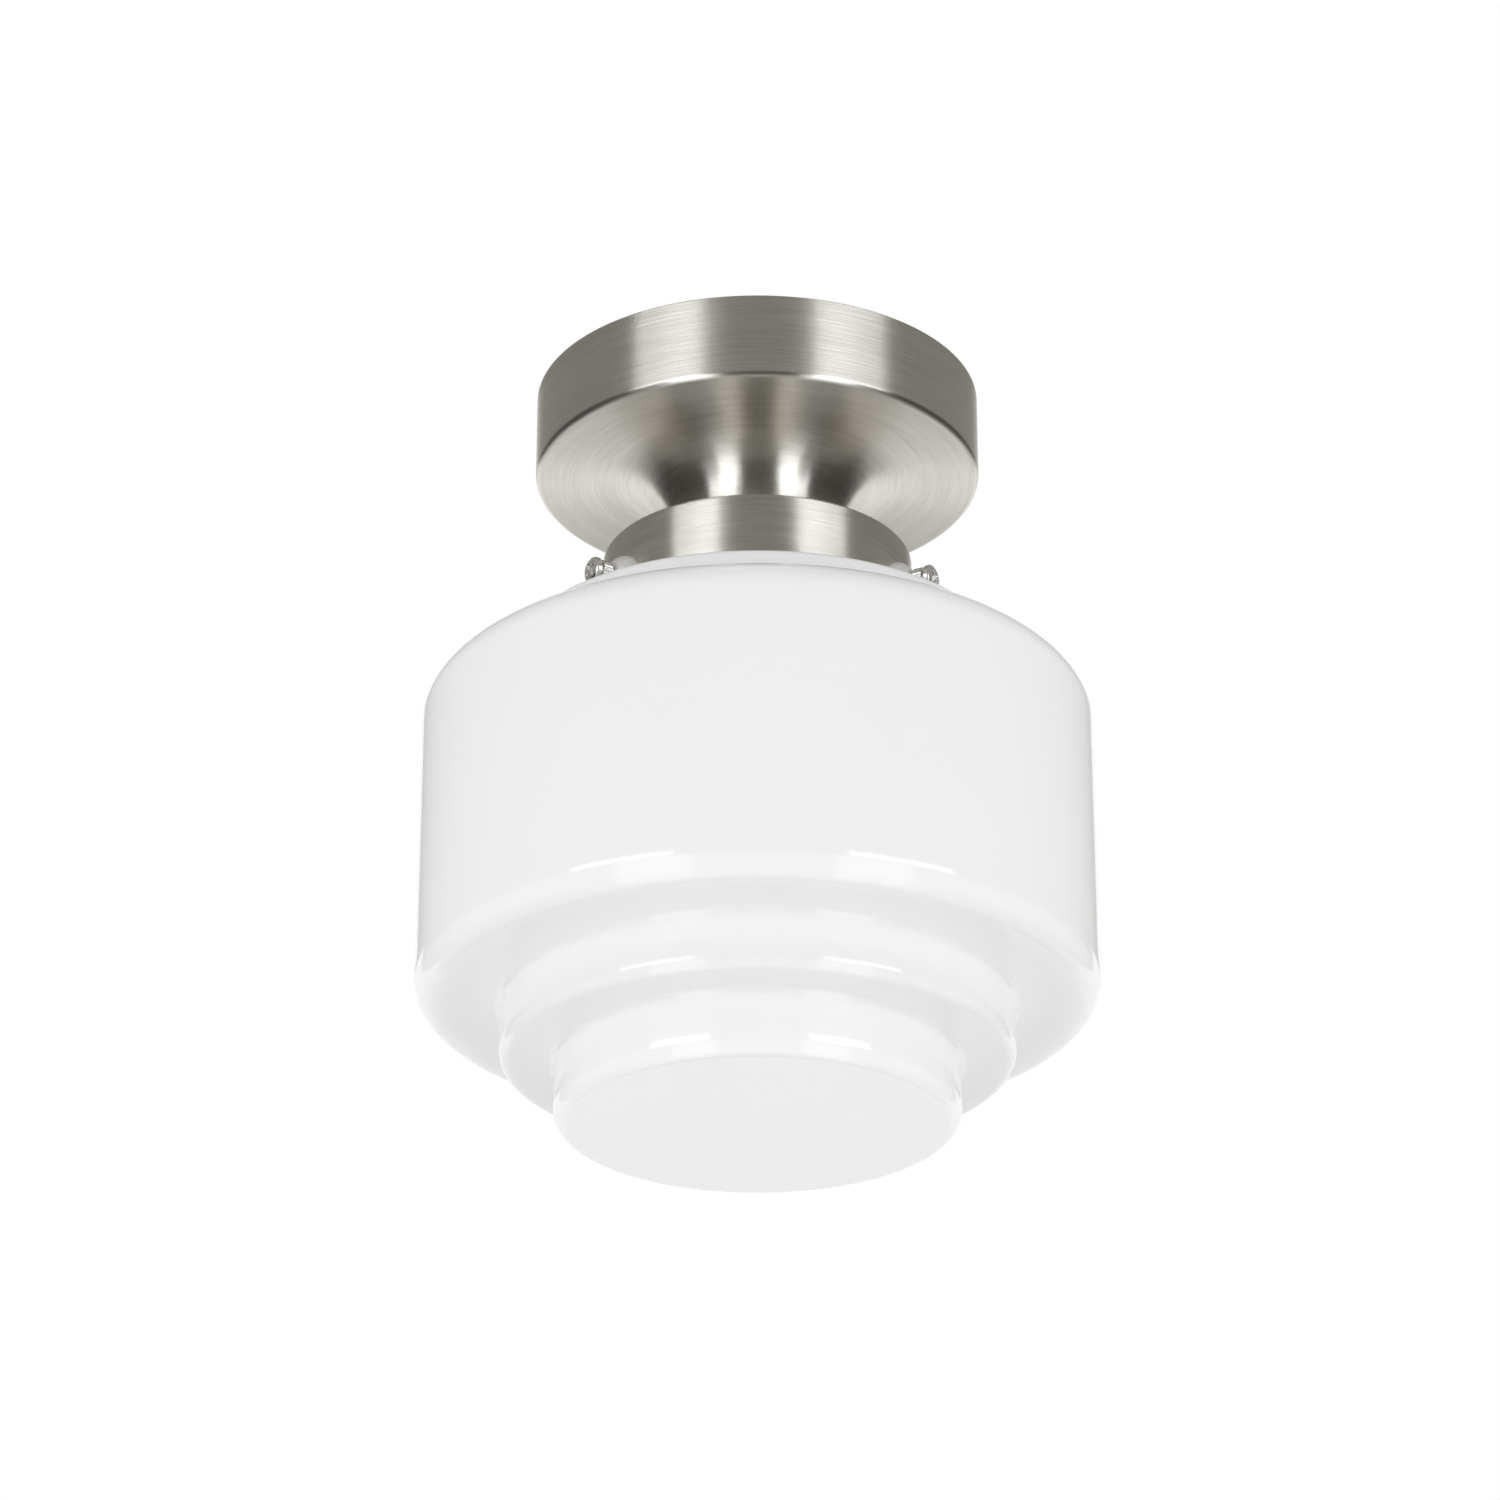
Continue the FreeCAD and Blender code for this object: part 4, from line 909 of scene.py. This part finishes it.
def makeSurround():
    # The world is white to the camera, gloss and glass, and the surround's grey as a light.
    world = bpy.data.worlds.new("surround")
    bpy.context.scene.world = world
    look = Look(world)
    path = look.add("ShaderNodeLightPath").socket.node.outputs
    seen = Term(look, path["Is Camera Ray"]) + Term(look, path["Is Glossy Ray"])
    seen = seen + Term(look, path["Is Transmission Ray"])
    level = studio["surround"] + look.add("ShaderNodeClamp", {}, {0: seen}) * (1 - studio["surround"])
    shader = look.add("ShaderNodeBackground", {}, {"Color": (1, 1, 1, 1), "Strength": level})
    look.add("ShaderNodeOutputWorld", {}, {"Surface": shader})


def makeFloor():
    # One square below the lamp.
    half = studio["floorSize"] / 2
    level = studio["floorHeight"]
    corners = [(-half, -half, level), (half, -half, level), (half, half, level), (-half, half, level)]
    mesh = bpy.data.meshes.new("floor")
    mesh.from_pydata(corners, [], [(0, 1, 2, 3)])
    mesh.materials.append(moulded("pale floor", studio["floorColour"], studio["floorRoughness"],
                                  studio["floorGrain"], studio["floorDepth"]))
    floor = bpy.data.objects.new("floor", mesh)
    bpy.context.scene.collection.objects.link(floor)


def makeStudio():
    # The gloss panels neither light nor shade the rough surfaces; the fill lights them and no gloss shows it.
    for name, values in glossPanels.items():
        panel = makePanel(name, values)
        panel.visible_diffuse = False
        panel.visible_shadow = False
    makePanel("fill", fill).visible_glossy = False
    makeSurround()
    makeFloor()


def makeCamera(values):
    # Stands at distance and aside, turned by the azimuth about the lamp's axis, and looks up by the pitch.
    v = values
    turn = math.radians(v["azimuth"])
    data = bpy.data.cameras.new("camera")
    data.sensor_width = v["sensor"]
    data.lens = v["focal"] / v["framePixels"] * v["sensor"]
    data.clip_end = v["farClip"]
    eye = bpy.data.objects.new("camera", data)
    x = v["distance"] * math.sin(turn) + v["aside"] * math.cos(turn)
    y = -v["distance"] * math.cos(turn) + v["aside"] * math.sin(turn)
    eye.location = (x * mm, y * mm, v["height"] * mm)
    eye.rotation_euler = (math.radians(90 + v["pitch"]), 0, turn)
    bpy.context.scene.collection.objects.link(eye)
    bpy.context.scene.camera = eye


makeStudio()
makeCamera(camera)
bpy.context.scene.view_settings.view_transform = "Standard"
print("studio and camera done")
